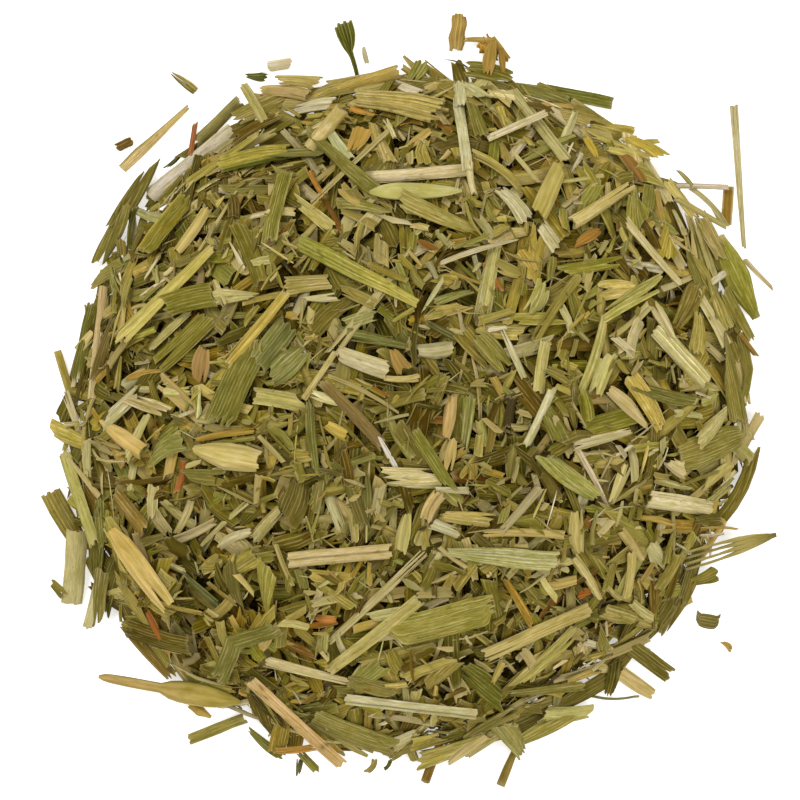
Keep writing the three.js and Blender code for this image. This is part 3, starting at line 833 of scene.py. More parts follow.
# %% [markdown]
# The cuts go where the heap is still too low, as they do when a heap is poured: what falls on a
# high spot slides off it. Round the foot, sliding cuts turn until they lie along the edge, so the
# rim has its cuts side by side and the middle has them every way.


# %% Sow
POSE = ("x", "y", "turn", "base", "pitch", "roll")


def sow(cuts, top, region, tries=10, wander=0.7, loose=2.2, squeeze=0.0, astray=0.55):
    """Lets cuts fall one by one on a region of the map and returns those that found a place, with
    their poses. Each looks at a number of places, tries, and prefers the one that lacks the most
    height, give or take wander mm. top is how far above the mound's own height they may lie, astray
    is how far they turn away from the direction of the mound's edge at the foot, loose is how much
    further they do so in the middle, and squeeze is how far they may press into a larger cut."""
    count = len(cuts["length"])
    poses = np.zeros((count, len(POSE)))
    placed = np.zeros(count, bool)
    region_rows, region_columns = np.nonzero(region)
    for i in range(count):
        pick = rng.integers(0, len(region_rows), tries)
        row, column = region_rows[pick], region_columns[pick]
        lack = envelope[row, column] + top - ground[row, column]
        order = np.argsort(-(lack + rng.normal(0, wander, tries)))[:3]
        for k in order:
            if lack[k] < 0:
                continue
            px = (column[k] + rng.uniform(-0.5, 0.5)) * CELL - REACH
            py = (row[k] + rng.uniform(-0.5, 0.5)) * CELL - REACH
            away = rng.normal(0, astray + loose * max(0.0, 1 - share_map[row[k], column[k]] ** 4))
            heading = bearing[row[k], column[k]] + math.pi / 2 + away
            size = cuts["length"][i], cuts["width"][i]
            *lie, room = rest(px, py, heading, *size)
            if room < cuts["tall"][i] + GAP - squeeze:
                continue
            poses[i] = px, py, heading, *lie
            cover(px, py, heading, *size, cuts["tall"][i], *lie)
            placed[i] = True
            break
    found = dict(cuts, **dict(zip(POSE, poses.T)))
    return {key: value[placed] for key, value in found.items()}


def together(*batches):
    return {key: np.concatenate([batch[key] for batch in batches]) for key in batches[0]}


whole = share_map < 1.0
bulk = sow(mixed(2700, scale=1.0), -0.2, whole)
print(f"{len(bulk['x'])} cuts sown, ground now {ground.max():.1f} mm, {time.time() - started:.1f} s")

# %% [markdown]
# Crumbs fill the gaps, and more cuts close the top and the rim. Some of the larger cuts still stand
# clear of what lies under them, so short cuts are pushed in there as props, again and again.

# %% Crumbs, rim, top and props
crumbs = sow(mixed(1300, scale=0.45), 0.2, whole, wander=1.2)
foot = (share_map > 0.9) & (share_map < 1.04)
rim = sow(mixed(640, scale=1.1), 1.1, foot, wander=0.5, loose=1.6, squeeze=0.6)
upper = sow(mixed(1300, scale=1.1), 0.9, whole, wander=0.9)
thin_floor = (layers < 2) & (share_map < 1.015)
filling = sow(mixed(520, scale=0.9), 2.0, thin_floor, wander=0.3, squeeze=2.5)
bulk = together(bulk, rim, upper, filling)
PROP_GAPS = (1.1, 1.1, 1.5, 2.0, 2.0, 2.0, 2.0, 2.0)
for gap in PROP_GAPS:
    hollow = (ceiling < FREE) & (ceiling - ground > gap) & (share_map < 1.03)
    props = sow(mixed(180, scale=0.65), 25.0, hollow, wander=2.0, squeeze=0.2)
    crumbs = together(crumbs, props)
    print(f"{len(props['x'])} props where larger cuts stand {gap} mm clear")
print(f"{len(rim['x'])} on the rim, {len(upper['x'])} on top, {len(filling['x'])} over thin floor")

# %% [markdown]
# The sown cuts become centre lines: straight at first, then bent up, bowed to the side and
# twisted a little. All cuts of a kind in a batch are computed together and end up in one mesh.


# %% Centre lines of cuts that have come to rest
def lines_of(cuts, along_steps):
    """Centre line, side and up direction of each cut, and its half width, at each step along it.
    With s from -1 to 1, a bow or a bend is (1 - s^2) of its height, a kink is 0.5 - |s|, and the
    width falls by the taper's share times |s|^1.6 towards each end. uneven and wander are random
    sums of a slope, an arch and a constant: they vary the width and the middle of each cut."""
    s = np.linspace(-1, 1, along_steps)[None, :]
    column = {key: cuts[key][:, None] for key in ("x", "y", "base", "bow", "bend", "kink", "twist", "tall")}
    cos, sin = np.cos(cuts["turn"]), np.sin(cuts["turn"])
    along = np.stack([cos, sin, cuts["pitch"]], 1)
    along /= np.linalg.norm(along, axis=1, keepdims=True)
    up = np.cross(along, np.stack([-sin, cos, cuts["roll"]], 1))
    up /= np.linalg.norm(up, axis=1, keepdims=True)
    side = np.cross(up, along)
    flipped = cuts["turned_over"][:, None, None]
    angle = column["twist"] * s
    turned_side = side[:, None] * np.cos(angle)[..., None] + up[:, None] * np.sin(angle)[..., None]
    turned_up = up[:, None] * np.cos(angle)[..., None] - side[:, None] * np.sin(angle)[..., None]
    line = np.stack([column["x"], column["y"], column["base"]], -1) + 0 * s[..., None]
    line = line + along[:, None] * (s * cuts["length"][:, None] / 2)[..., None]
    line = line + side[:, None] * (column["bow"] * (1 - s**2) + column["kink"] * (0.5 - abs(s)))[..., None]
    line = line + up[:, None] * (abs(column["bend"]) * (1 - s**2))[..., None]
    line = np.where(flipped, line + up[:, None] * column["tall"][..., None], line)
    turned_up = np.where(flipped, -turned_up, turned_up)
    turned_side = np.where(flipped, -turned_side, turned_side)
    half = cuts["width"][:, None] / 2 * (1 - (1 - cuts["taper"][:, 0:1]) * np.clip(-s, 0, 1) ** 1.6)
    half = half * (1 - (1 - cuts["taper"][:, 1:2]) * np.clip(s, 0, 1) ** 1.6)
    shapes = np.stack([s[0] * 2.5, 1 - s[0] ** 2, s[0] * 0 + 0.5])
    uneven, wander = rng.normal(0, 1, (2, len(half), 3)) @ shapes
    half = half * (1 + 0.05 * uneven).clip(0.65, 1.3)
    line = line + turned_side * (0.02 * wander * cuts["width"][:, None])[..., None]
    return line, turned_side, turned_up, half


def torn_ends(cuts, across_steps):
    """How far each point of the two ends is moved along: a slanted cut, a random tear, and here
    and there a split that runs a good way into the cut."""
    t = np.linspace(-1, 1, across_steps)
    shape = (len(cuts["x"]), 2, across_steps)
    slant = cuts["ends"][:, :, None] * t * cuts["width"][:, None, None] / 2
    tear = rng.uniform(-1, 1, shape) * (cuts["torn"] * np.minimum(cuts["width"], 2.2))[:, None, None] * 0.5
    split = (rng.random(shape) < 0.07) * rng.uniform(0.1, 0.4, shape) * cuts["length"][:, None, None]
    return slant + tear + split * np.array([1, -1])[:, None]


def grain_of(cuts, along_steps, across_steps):
    """Each point's place in the pattern, in mm. Every cut starts somewhere else in it, and the
    veins stay parallel to the cut's edges and vary a little in their spacing."""
    s = np.linspace(-1, 1, along_steps)[None, None, :]
    own = cuts["own"][:, None, None]
    across = round_section(across_steps) * cuts["width"][:, None, None] / 2
    across = across + 0.12 * np.sin(2.1 * across + 40 * own) + own * 83
    return s * cuts["length"][:, None, None] / 2 + own * 371, across


def tints_with_painted_shade(cuts, across_steps):
    """The light values of each point: the cut's own, lighter or darker from line to line across it,
    and darker and browner the deeper the cut lies below the top of the heap, though less so at the
    foot: painted shade for the gaps between the cuts. clumps_and_painted_shade makes some places of
    the heap lighter than others and paints shade over its middle, but not on the chosen cuts."""
    streaks = rng.normal(0, 0.13, (len(cuts["x"]), across_steps))
    streaks = np.exp(np.concatenate([streaks, streaks[:, ::-1]], 1))
    cell = cell_of(cuts["x"], cuts["y"])
    # painted shade: the deeper a cut lies under the top of the heap, the darker and browner its tint
    depth = np.maximum(surface[cell] - cuts["base"] - 1.0, 0)
    shade = (np.clip(depth / 3.5, 0, 1) * np.clip(4.2 - 4 * share_map[cell], 0.3, 1))[:, None]
    # painted shade over the middle of the heap, together with the random clumps; chosen cuts are spared
    place = np.where(cuts["chosen"] > 0, 1.0, clumps_and_painted_shade[cell])[:, None] ** np.array([1.0, 1.03, 1.7])
    tint = cuts["tint"] * place * np.array([0.63, 0.51, 0.07]) ** shade
    return (tint[:, None] * streaks[..., None])[:, :, None]


def build(name, cuts, along_steps, across_steps):
    """One mesh of all the cuts of one kind."""
    spec = MIXTURE[cuts["kind"][0]]
    line, side, up, half = lines_of(cuts, along_steps)
    points = band_shells(line, side, up, half, cuts["arc"], cuts["thick"], across_steps,
                         ends=torn_ends(cuts, across_steps))
    points[..., 2] = np.maximum(points[..., 2], TABLE_GAP)
    grain = grain_of(cuts, along_steps, across_steps)
    piece = write_mesh(name, points, spec["finish"], tints_with_painted_shade(cuts, across_steps), *grain)
    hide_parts("packed_cuts")
    return piece


def build_kinds(label, cuts, steps=None):
    """One mesh for each kind of cut in a batch."""
    for kind in MIXTURE:
        chosen = {key: value[cuts["kind"] == kind] for key, value in cuts.items()}
        if len(chosen["x"]):
            piece = build(f"{kind}_{label}", chosen, *(steps or MIXTURE[kind]["steps"]))
            print(piece.name, len(chosen["x"]), "cuts,", 2 * len(piece.data.polygons), "triangles")


print("ready to build", len(bulk["x"]) + len(crumbs["x"]), "cuts")

# %% [markdown]
# ## The larger cuts
#
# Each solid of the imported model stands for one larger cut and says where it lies, how long and wide
# it is, how it is tapered and which way it is bent. These are read off by slicing the solid along
# its own length. What the solid leaves out is then added: the ribs, the thin edges, the torn ends,
# the slits where it split as it dried, and its own colours from end to end.


# %% Slice a solid along its length
def survey(name, is_round):
    """A cut's middle, its own directions along, side and up, and its width, offset and top at
    stations from -1 to 1 along it. The directions are those in which its points spread the most
    and the least. Along points to +X."""
    points = thrown_on(name, 250)
    middle = points.mean(0)
    spread = np.linalg.eigh(np.cov((points - middle).T))[1].T
    along = spread[2] * np.sign(spread[2][0])
    up = np.array([0.0, 0.0, 1.0]) if is_round else spread[0] * np.sign(spread[0][2])
    up = up - along * (up @ along)
    up /= np.linalg.norm(up)
    side = np.cross(up, along)
    s, t, h = ((points - middle) @ np.stack([along, side, up], 1)).T
    half_length = (s.max() - s.min()) / 2
    middle = middle + along * (s.max() + s.min()) / 2
    s = (s - (s.max() + s.min()) / 2) / half_length
    stations = np.linspace(-0.93, 0.93, 15)
    slices = [(t[near], h[near]) for near in (abs(s - station) < 0.07 for station in stations)]
    left, right = np.array([(a.min(), a.max()) for a, _ in slices]).T
    top = np.array([b.max() for _, b in slices])
    return SimpleNamespace(middle=middle, along=along, side=side, up=up, half_length=half_length,
                           stations=stations, left=left, right=right, top=top)


stem = survey("long_stem", False)
print(f"long_stem is {2 * stem.half_length:.1f} mm long and {(stem.right - stem.left).max():.1f} wide")

# %% [markdown]
# Below is the lesson's catalogue of larger cuts. Left and right are the ends of each cut as they
# lie on the table. A row gives the cut's kind, the colour of its left and of its right end, and how
# many millimetres deep each end is torn into teeth. The looks add what is particular to a cut.
#
# - `outline` gives the shares of its full width from left to right, in place of the solid's own.
# - `tips` and `edges` give a colour to an end or an edge, `streaks` sets how striped the cut is.
# - `slits` are splits that run in from an end: which end, where across, how deep and how wide.
# - `groove` is a sunk line along the cut, darkened with painted shade: where
#   across it, and how deep.
# - `seam` is where one husk closes over the other, `lumps` crumples the surface.
# - `specks` darkens a number of spots, and `tines` splits the cut into strips.

# %% Catalogue
FORMS = {
    "stem": dict(finish="stem", arc=110, thick=0.32, ribs=2.2, rib=0.008),
    "leaf": dict(finish="leaf", arc=45, thick=0.20, ribs=1.9, rib=0.022),
    "sheath": dict(finish="leaf", arc=95, thick=0.24, ribs=1.7, rib=0.035),
    "husk": dict(finish="husk", arc=120, thick=0.20, ribs=1.2, rib=0.03),
    "tube": dict(finish="stem", arc=350, thick=0.35, ribs=2.2, rib=0.012),
    "grain": dict(finish="husk", ribs=0.9, rib=0.05, is_round=True),
    "rod": dict(finish="stem", ribs=2.4, rib=0.02, is_round=True),
}
WHITISH, BUFF, DARK = (226, 214, 172), (204, 190, 130), (92, 78, 36)
CATALOGUE = """
stray_splinter stem 212 188 128 204 180 112 0.2 0.9
stray_chip leaf 118 92 58 126 100 64 0.4 0.3
stray_leaf_tip leaf 156 146 92 146 136 80 0.2 0.3
stray_husk_chip husk 225 214 176 214 200 158 0.3 0.3
stray_leaf_flake leaf 92 96 42 98 100 44 0.7 0.2
stray_curled_husk sheath 178 150 90 170 142 80 0.5 0.4
stray_rolled_husk husk 198 160 76 172 130 52 1.2 1.4
stray_long_stem stem 204 194 146 196 184 130 0.4 1
stray_stub stem 152 120 58 146 114 54 0.2 0.2
stray_green_chip leaf 128 119 78 120 112 70 0.2 0.3
stray_culm stem 142 133 70 150 140 80 0.4 0.4
stray_husk husk 186 160 88 176 148 76 0.3 0.2
stalked_floret grain 206 176 112 180 164 80 0.2 0.2
frayed_leaf leaf 206 194 132 198 186 112 0.2 0.2
curved_thread rod 128 130 96 120 120 84 0.2 0.2
foot_stem_01 rod 122 98 52 130 104 56 0.2 0.2
foot_stem_02 rod 132 114 62 140 122 70 0.2 0.2
edge_stem stem 166 150 78 158 144 72 0.3 0.3
edge_leaf_01 leaf 108 106 58 100 98 50 1.6 0.6
edge_sheath sheath 152 140 82 142 130 72 0.6 0.6
edge_leaf_02 leaf 92 80 34 106 94 42 2.6 0.8
edge_leaf_03 leaf 112 114 56 118 120 62 0.4 0.5
edge_leaf_04 leaf 118 108 60 112 102 56 0.6 0.6
edge_leaf_05 leaf 152 144 86 144 136 78 0.7 2.4
green_glume husk 154 150 74 146 144 66 0.2 0.2
ribbed_leaf sheath 152 142 82 138 130 72 0.8 0.4
split_culm_01 stem 216 205 152 208 195 138 0.5 0.7
split_culm_02 stem 203 192 132 196 186 124 0.4 0.4
split_culm_03 stem 182 176 106 172 166 96 0.9 0.9
split_culm_04 stem 206 198 144 200 192 134 0.3 0.8
long_stem stem 206 186 130 212 186 134 0.4 0.3
split_culm_05 stem 144 135 88 136 127 78 0.4 0.5
split_culm_06 stem 224 214 184 218 208 174 0.3 0.3
split_culm_07 stem 184 162 92 176 154 84 0.8 0.5
split_culm_08 stem 214 182 122 208 174 114 0.6 0.9
leaf_strip_01 leaf 122 118 60 128 122 66 1.5 1.5
leaf_strip_02 sheath 176 164 80 166 156 74 0.8 0.6
leaf_strip_03 leaf 148 142 76 140 134 68 0.8 0.8
leaf_strip_04 leaf 138 130 56 130 122 52 0.8 1
bright_leaf leaf 146 146 72 186 176 92 0.5 0.3
broad_leaf leaf 166 158 88 158 150 82 1.8 0.8
pale_leaf leaf 178 176 124 186 182 130 0.2 1.4
folded_leaf leaf 126 122 72 120 116 66 1.2 1
ribbed_sheath sheath 190 174 112 178 162 98 0.5 1.8
pale_glume husk 200 182 112 206 188 120 0.3 0.9
torn_floret husk 203 174 96 206 182 112 0.2 0.9
gold_floret husk 208 182 114 202 174 102 0.2 0.5
split_culm_09 stem 192 180 102 184 170 92 2.6 0.5
split_culm_10 stem 222 206 156 216 200 146 0.2 0.5
slim_floret grain 188 182 108 196 190 118 0.2 0.2
split_culm_11 stem 216 210 162 208 202 152 0.3 0.6
split_culm_12 stem 196 187 124 190 180 116 0.5 0.8
split_culm_13 stem 218 206 164 210 198 152 0.3 0.4
culm_tube tube 200 184 122 192 174 108 0.2 0.2
split_culm_14 stem 208 190 122 200 182 112 0.4 0.9
split_culm_15 stem 208 200 138 200 190 126 0.6 0.6
grooved_culm stem 202 196 146 196 188 136 0.4 0.6
split_culm_16 stem 214 194 136 206 186 126 0.5 0.9
split_culm_17 stem 198 182 114 190 172 104 0.8 0.5
"""
LOOKS = {
    "stray_splinter": dict(outline=(0.9, 1.0, 0.8, 0.6, 0.45), edges=(None, (120, 116, 76))),
    "stray_leaf_tip": dict(slits=[(-1, 0.0, 3.6, 0.3)], edges=((122, 112, 66), BUFF)),
    "stray_leaf_flake": dict(streaks=0.3),
    "stray_curled_husk": dict(finish="husk", lumps=0.14, outline=(0.7, 1.0, 0.9, 0.75), streaks=0.2,
                              edges=((138, 102, 58), None)),
    "stray_rolled_husk": dict(lumps=0.3, streaks=0.3, slits=[(1, 0.1, 2.6, 0.3), (-1, 0.5, 2.2, 0.25)]),
    "stray_stub": dict(edges=(BUFF, BUFF)),
    "stray_green_chip": dict(outline=(0.7, 0.95, 1.0, 0.85), streaks=0.04),
    "stray_culm": dict(outline=(0.82, 0.82), streaks=0.16),
    "stalked_floret": dict(seam=0.55, edges=(None, (104, 108, 48))),
    "frayed_leaf": dict(tines=4, streaks=0.05),
    "curved_thread": dict(outline=(0.5, 0.55, 0.5)),
    "foot_stem_01": dict(outline=(1.0, 0.85, 0.8)),
    "foot_stem_02": dict(outline=(1.0, 0.95, 0.7, 0.62, 0.7)),
    "edge_leaf_01": dict(tips=(WHITISH, None)),
    "edge_leaf_02": dict(streaks=0.3),
    "edge_leaf_03": dict(rib=0.02),
    "edge_leaf_04": dict(slits=[(1, 0.2, 1.6, 0.14)]),
    "edge_leaf_05": dict(streaks=0.12),
    "green_glume": dict(finish="leaf", rib=0.035, tips=(BUFF, None)),
    "ribbed_leaf": dict(ribs=1.9, rib=0.045, outline=(0.8, 1.0, 1.0, 0.95, 0.7)),
    "split_culm_02": dict(streaks=0.05),
    "split_culm_03": dict(streaks=0.1, edges=((132, 118, 62), None)),
    "split_culm_04": dict(streaks=0.05),
    "split_culm_05": dict(streaks=0.09),
    "split_culm_06": dict(arc=60, streaks=0.02),
    "split_culm_08": dict(specks=14, lumps=0.06),
    "leaf_strip_02": dict(edges=((92, 98, 40), None)),
    "leaf_strip_03": dict(streaks=0.34),
    "leaf_strip_04": dict(ribs=1.6, edges=(None, (200, 180, 88))),
    "bright_leaf": dict(ribs=1.6, specks=10),
    "broad_leaf": dict(slits=[(1, 0.25, 4.0, 0.14), (1, -0.45, 2.6, 0.12), (-1, -0.7, 2.0, 0.2)]),
    "pale_leaf": dict(streaks=0.16),
    "folded_leaf": dict(arc=40, outline=(0.72, 0.78, 0.72)),
    "ribbed_sheath": dict(ribs=1.65, rib=0.12, streaks=0.3, outline=(0.62, 0.8, 0.95, 1.0)),
    "pale_glume": dict(outline=(0.3, 0.75, 1.0, 1.0, 0.8)),
    "torn_floret": dict(outline=(0.5, 0.95, 1.0, 1.0, 0.95, 0.7),
                        slits=[(1, 0.05, 5.5, 0.22), (1, -0.55, 3.0, 0.12)]),
    "gold_floret": dict(outline=(0.2, 0.62, 0.95, 1.0, 0.95)),
    "split_culm_09": dict(streaks=0.16, slits=[(-1, 0.35, 6.0, 0.1)]),
    "split_culm_10": dict(streaks=0.04, specks=2, tips=(DARK, None)),
    "slim_floret": dict(seam=0.5),
    "split_culm_11": dict(arc=70, streaks=0.04),
    "split_culm_12": dict(groove=(0.2, 0.1)),
    "split_culm_14": dict(slits=[(1, 0.1, 6.0, 0.14)]),
    "split_culm_15": dict(streaks=0.24),
    "grooved_culm": dict(groove=(0.0, 0.2), streaks=0.04),
    "split_culm_16": dict(groove=(0.05, 0.24), streaks=0.06),
    "split_culm_17": dict(slits=[(-1, -0.1, 7.0, 0.12)]),
}


def rows_of(table):
    """The rows of a table: first their words and then their numbers."""
    for row in table.strip().splitlines():
        yield [item if item[0].isalpha() else float(item) for item in row.split()]


catalogue = {}
for name, kind, *numbers in rows_of(CATALOGUE):
    given = dict(FORMS[kind], kind=kind, left=numbers[:3], right=numbers[3:6], fray=numbers[6:])
    catalogue[name] = {**given, **LOOKS.get(name, {})}
print("catalogued:", len(catalogue), "of", len(larger_cuts), "larger cuts")


# %% The details of one larger cut
def soft_noise(length, knots, own):
    """A smooth random line of values from about -1 to 1, through a number of random knots."""
    return np.interp(np.linspace(0, 1, length), np.linspace(0, 1, knots), own.uniform(-1, 1, knots))


def ragged_ends(t, rib_count, look, own):
    """How far each line of points is pulled in at the two ends: teeth as wide as a rib, and slits."""
    pulled = np.zeros((2, len(t)))
    for end, depth in enumerate(look["fray"]):
        tooth = np.floor((t + 1) / 2 * max(3, rib_count) * 0.999).astype(int)
        pulled[end] = depth * (own.random(max(3, rib_count) + 1) ** 1.5)[tooth]
        pulled[end] += 0.12 * depth * own.random(len(t))
    for end, where, depth, width in look.get("slits", []):
        notch = np.clip(1 - abs(t - where) / width, 0, 1) ** 0.6
        pulled[(end + 1) // 2] = np.maximum(pulled[(end + 1) // 2], depth * notch)
    return pulled * np.array([[1], [-1]])


def relief(t, s, half, look, own):
    """What stands up from the smooth surface, in mm: ribs, a groove and crumples. A rib is the
    highest at whole numbers of across * ribs."""
    across = t[:, None] * half.max()
    rise = look["rib"] * (np.sin(across * look["ribs"] * FULL_TURN) + 0.2 * own.normal(size=(len(t), 1)))
    if "groove" in look:
        where, depth = look["groove"]
        rise = rise - depth * np.exp(-(((t[:, None] - where) / 0.16) ** 2))
    if "lumps" in look:
        crumple = sum(np.sin(own.uniform(2, 6) * t[:, None] + own.uniform(3, 9) * s[None] + own.uniform(0, 6))
                      for _ in range(4))
        rise = rise + look["lumps"] * crumple / 2
    if "seam" in look:
        rise = rise + 0.14 * (t[:, None] > look["seam"] - 0.25 * s[None] ** 2)
    return rise


def painted(t, s, look, own):
    """The light values of each point of the outer side, as (across, along, rgb), with painted shade
    along a groove.
    """
    start, end = light_of(*look["left"]), light_of(*look["right"])
    u = (s[None, :, None] + 1) / 2
    tint = start * (1 - u) + end * u + 0 * t[:, None, None]
    streaks = look.get("streaks", 0.1) * own.normal(size=len(t))
    streaks = streaks + 0.08 * soft_noise(len(t), 7, own)
    patches = 0.07 * soft_noise(len(s), 9, own)
    tint = tint * np.exp(streaks[:, None] + patches[None])[..., None]
    # painted shade: the tint is darker along the sunk groove
    if "groove" in look:
        tint = tint * (1 - 0.5 * np.exp(-(((t - look["groove"][0]) / 0.12) ** 2)))[:, None, None]
    for key, where, start, fade in (("edges", t[:, None], 0.55, 0.3), ("tips", s[None], 0.8, 0.15)):
        for sign, colour in zip((-1, 1), look.get(key, (None, None))):
            if colour:
                share = np.clip((where * sign - start) / fade, 0, 1)[..., None]
                tint = tint * (1 - share) + light_of(*colour) * share
    for _ in range(look.get("specks", 0)):
        place_t, place_s = own.uniform(-0.9, 0.9), own.uniform(-0.95, 0.95)
        spot = np.exp(-(((t[:, None] - place_t) / 0.16) ** 2) - ((s[None] - place_s) / 0.035) ** 2)[..., None]
        tint = tint * (1 - 0.6 * spot)
    return tint


# %% Build the larger cuts
def larger_cut(name):
    """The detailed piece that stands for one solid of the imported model."""
    look = catalogue[name]
    is_round = look.get("is_round", False)
    own = np.random.default_rng(zlib.crc32(name.encode()))
    found = survey(name, is_round)
    steps = int(np.clip(found.half_length * 2.6, 12, 34))
    s = np.linspace(-1, 1, steps)
    half = np.interp(s, found.stations, (found.right - found.left) / 2)
    if "outline" in look:
        shares = look["outline"]
        half = half.max() * np.interp(s, np.linspace(-1, 1, len(shares)), shares)
    half = half * (1 + 0.04 * soft_noise(steps, 5, own))
    offset = np.interp(s, found.stations, (found.right + found.left) / 2)
    offset = offset + 0.05 * half.max() * soft_noise(steps, 5, own)
    top = np.interp(s, found.stations, found.top)
    width = 2 * half.max()
    rib_count = int(round(width * look["ribs"]))
    across = int(np.clip(4 * rib_count + 1, 13, 41))
    if look["kind"] == "grain":
        half = half * np.sqrt(1 - np.clip(abs(s), 0, 0.995) ** 14)
        height = 0.75 * half
    elif look["kind"] == "rod":
        height = half
    else:
        arc = math.radians(look["arc"])
        height = half / math.sin(min(arc / 2, math.pi / 2)) * (1 - math.cos(arc / 2))
    base = top - height
    line = (found.middle + s[:, None] * found.half_length * found.along
            + offset[:, None] * found.side + base[:, None] * found.up)[None]
    side, up = (np.broadcast_to(axis, line.shape) for axis in (found.side, found.up))
    t = np.linspace(-1, 1, across)
    rise = relief(t, s, half, look, own)
    outer_tint = painted(t, s, look, own)
    tint = np.concatenate([outer_tint, outer_tint[::-1]])[None]
    if is_round:
        rise = np.concatenate([rise, rise[::-1]])[None]
        points = solid_shells(line, side, up, half[None], height[None], across, rise=rise)
    else:
        ends = ragged_ends(t, rib_count, look, own)[None]
        points = band_shells(line, side, up, half[None], np.array([arc]), np.array([look["thick"]]),
                             across, rise=rise[None], ends=ends)
    if "tines" in look:
        points, tint = split_into_tines(points, tint, look["tines"], found.side, half)
    points[..., 2] = np.maximum(points[..., 2], 0.03)
    grain_across = round_section(across) * width / 2 * look["ribs"] / VEINS_PER_MM
    grain_along = s[None, None, :] * found.half_length + zlib.crc32(name.encode()) % 997
    piece = write_mesh(name + "_cut", points, look["finish"], tint, grain_along, grain_across)
    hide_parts(name)
    return piece


def split_into_tines(points, tint, count, side, half):
    """Copies a band into strips side by side. From the tip to a little past the middle they touch.
    Beyond that each is narrower, and they spread: with w the half width of the band, strip k of n
    lies at w (2 k + 1 - n) / n to the side, and a little further out at the start."""
    from_line = points - points.mean(1, keepdims=True)
    sideways = (from_line @ side)[..., None]
    apart = np.clip((0.58 - np.linspace(0, 1, points.shape[2])) / 0.2, 0, 1)[None, None, :, None]
    width = half[None, None, :, None]
    strips = []
    for k in range(count):
        narrow = sideways * (1.04 - 0.6 * apart) / count
        shift = (2 * k + 1 - count) / count * width * (1 + 0.05 * apart)
        lift = 0.3 * apart * math.sin(k * 2.4) * np.array([0.0, 0.0, 1.0])
        strips.append(points + (narrow - sideways + shift) * side + lift)
    return np.concatenate(strips), np.repeat(tint, count, 0)


made = [larger_cut(name) for name in larger_cuts]
print(len(made), "larger cuts,", sum(2 * len(piece.data.polygons) for piece in made), "triangles")

# %% [markdown]
# ## The cuts on top
#
# Between the larger cuts lie others that catch the eye: a yellow split stem beside a leaf, a golden
# husk, a green blade. They come to rest like the sown ones, but their places are chosen. Each row
# of a table is one cut: its kind, its place in millimetres from the middle of the mound, its
# heading in degrees, its length and width, and its colour. The first table's cuts lie round the
# foot, partly under the larger ones.

# %% Chosen cuts
ROUND_THE_FOOT = """
leaf 52 25 -62 11 3.2 122 113 62
leaf 53 14 -72 11 3 130 118 66
leaf -37 -40 -42 11 3.2 110 98 50
leaf -31.5 -44.5 -36 11 3 116 104 54
leaf -23 51 30 11 3.2 146 134 80
stem -19.5 51.8 -6 11 3 178 162 106
leaf -16 52.4 8 10 3.2 142 130 78
leaf -11 53.8 15 10 2.8 162 150 94
stem -8 55.2 13 9 2.2 188 174 114
sheath -3.5 54.2 14 10 3 168 156 100
sheath 3.5 54 -8 10 3 160 148 90
leaf 9 53.6 6 10 3 148 138 84
leaf 8 51 -30 10 3 120 110 60
stem 16 53.6 -12 10 2.4 164 152 98
leaf 21 53 -16 12 3.2 124 120 72
leaf 27 51.2 -24 11 3.2 140 128 76
stem 31 49 -32 10 2.4 170 156 100
leaf -45 36 62 11 3 120 112 62
leaf -48 30 68 11 3 130 122 70
leaf -50 -21 85 13 3.2 106 104 58
leaf -48 -27.5 76 12 3.2 98 92 50
stem -46.5 -22 -80 11 2.2 130 120 68
sheath -50 -29.5 80 10 2.8 142 132 82
leaf -45.5 -32.5 -64 11 3.2 118 102 58
leaf -42 -38.5 -50 11 3.2 126 106 58
leaf -22.5 -49.5 -68 11 3.4 112 98 50
leaf -18 -51 84 10 3.2 128 112 56
leaf -13.5 -51.5 -38 11 3.4 150 142 90
sheath -9.5 -53 -30 10 3 160 150 100
leaf -5 -53.5 12 11 3 134 124 70
leaf 1 -54 16 11 3 150 138 82
sheath 14 -50.5 32 10 3 146 136 80
stem 13.5 -53 36 10 2.2 182 168 112
leaf 19 -50.5 22 11 3.2 128 120 68
leaf 21.5 -47.5 12 11 3.2 136 126 76
leaf 30 -45 30 11 3 112 102 54
leaf 36 -39.5 44 11 3.2 120 108 60
leaf 41 -34 58 11 3.2 112 102 58
leaf 44.6 -30.6 66 12 3.2 126 112 64
leaf 47 -25 72 11 3 116 108 62
"""
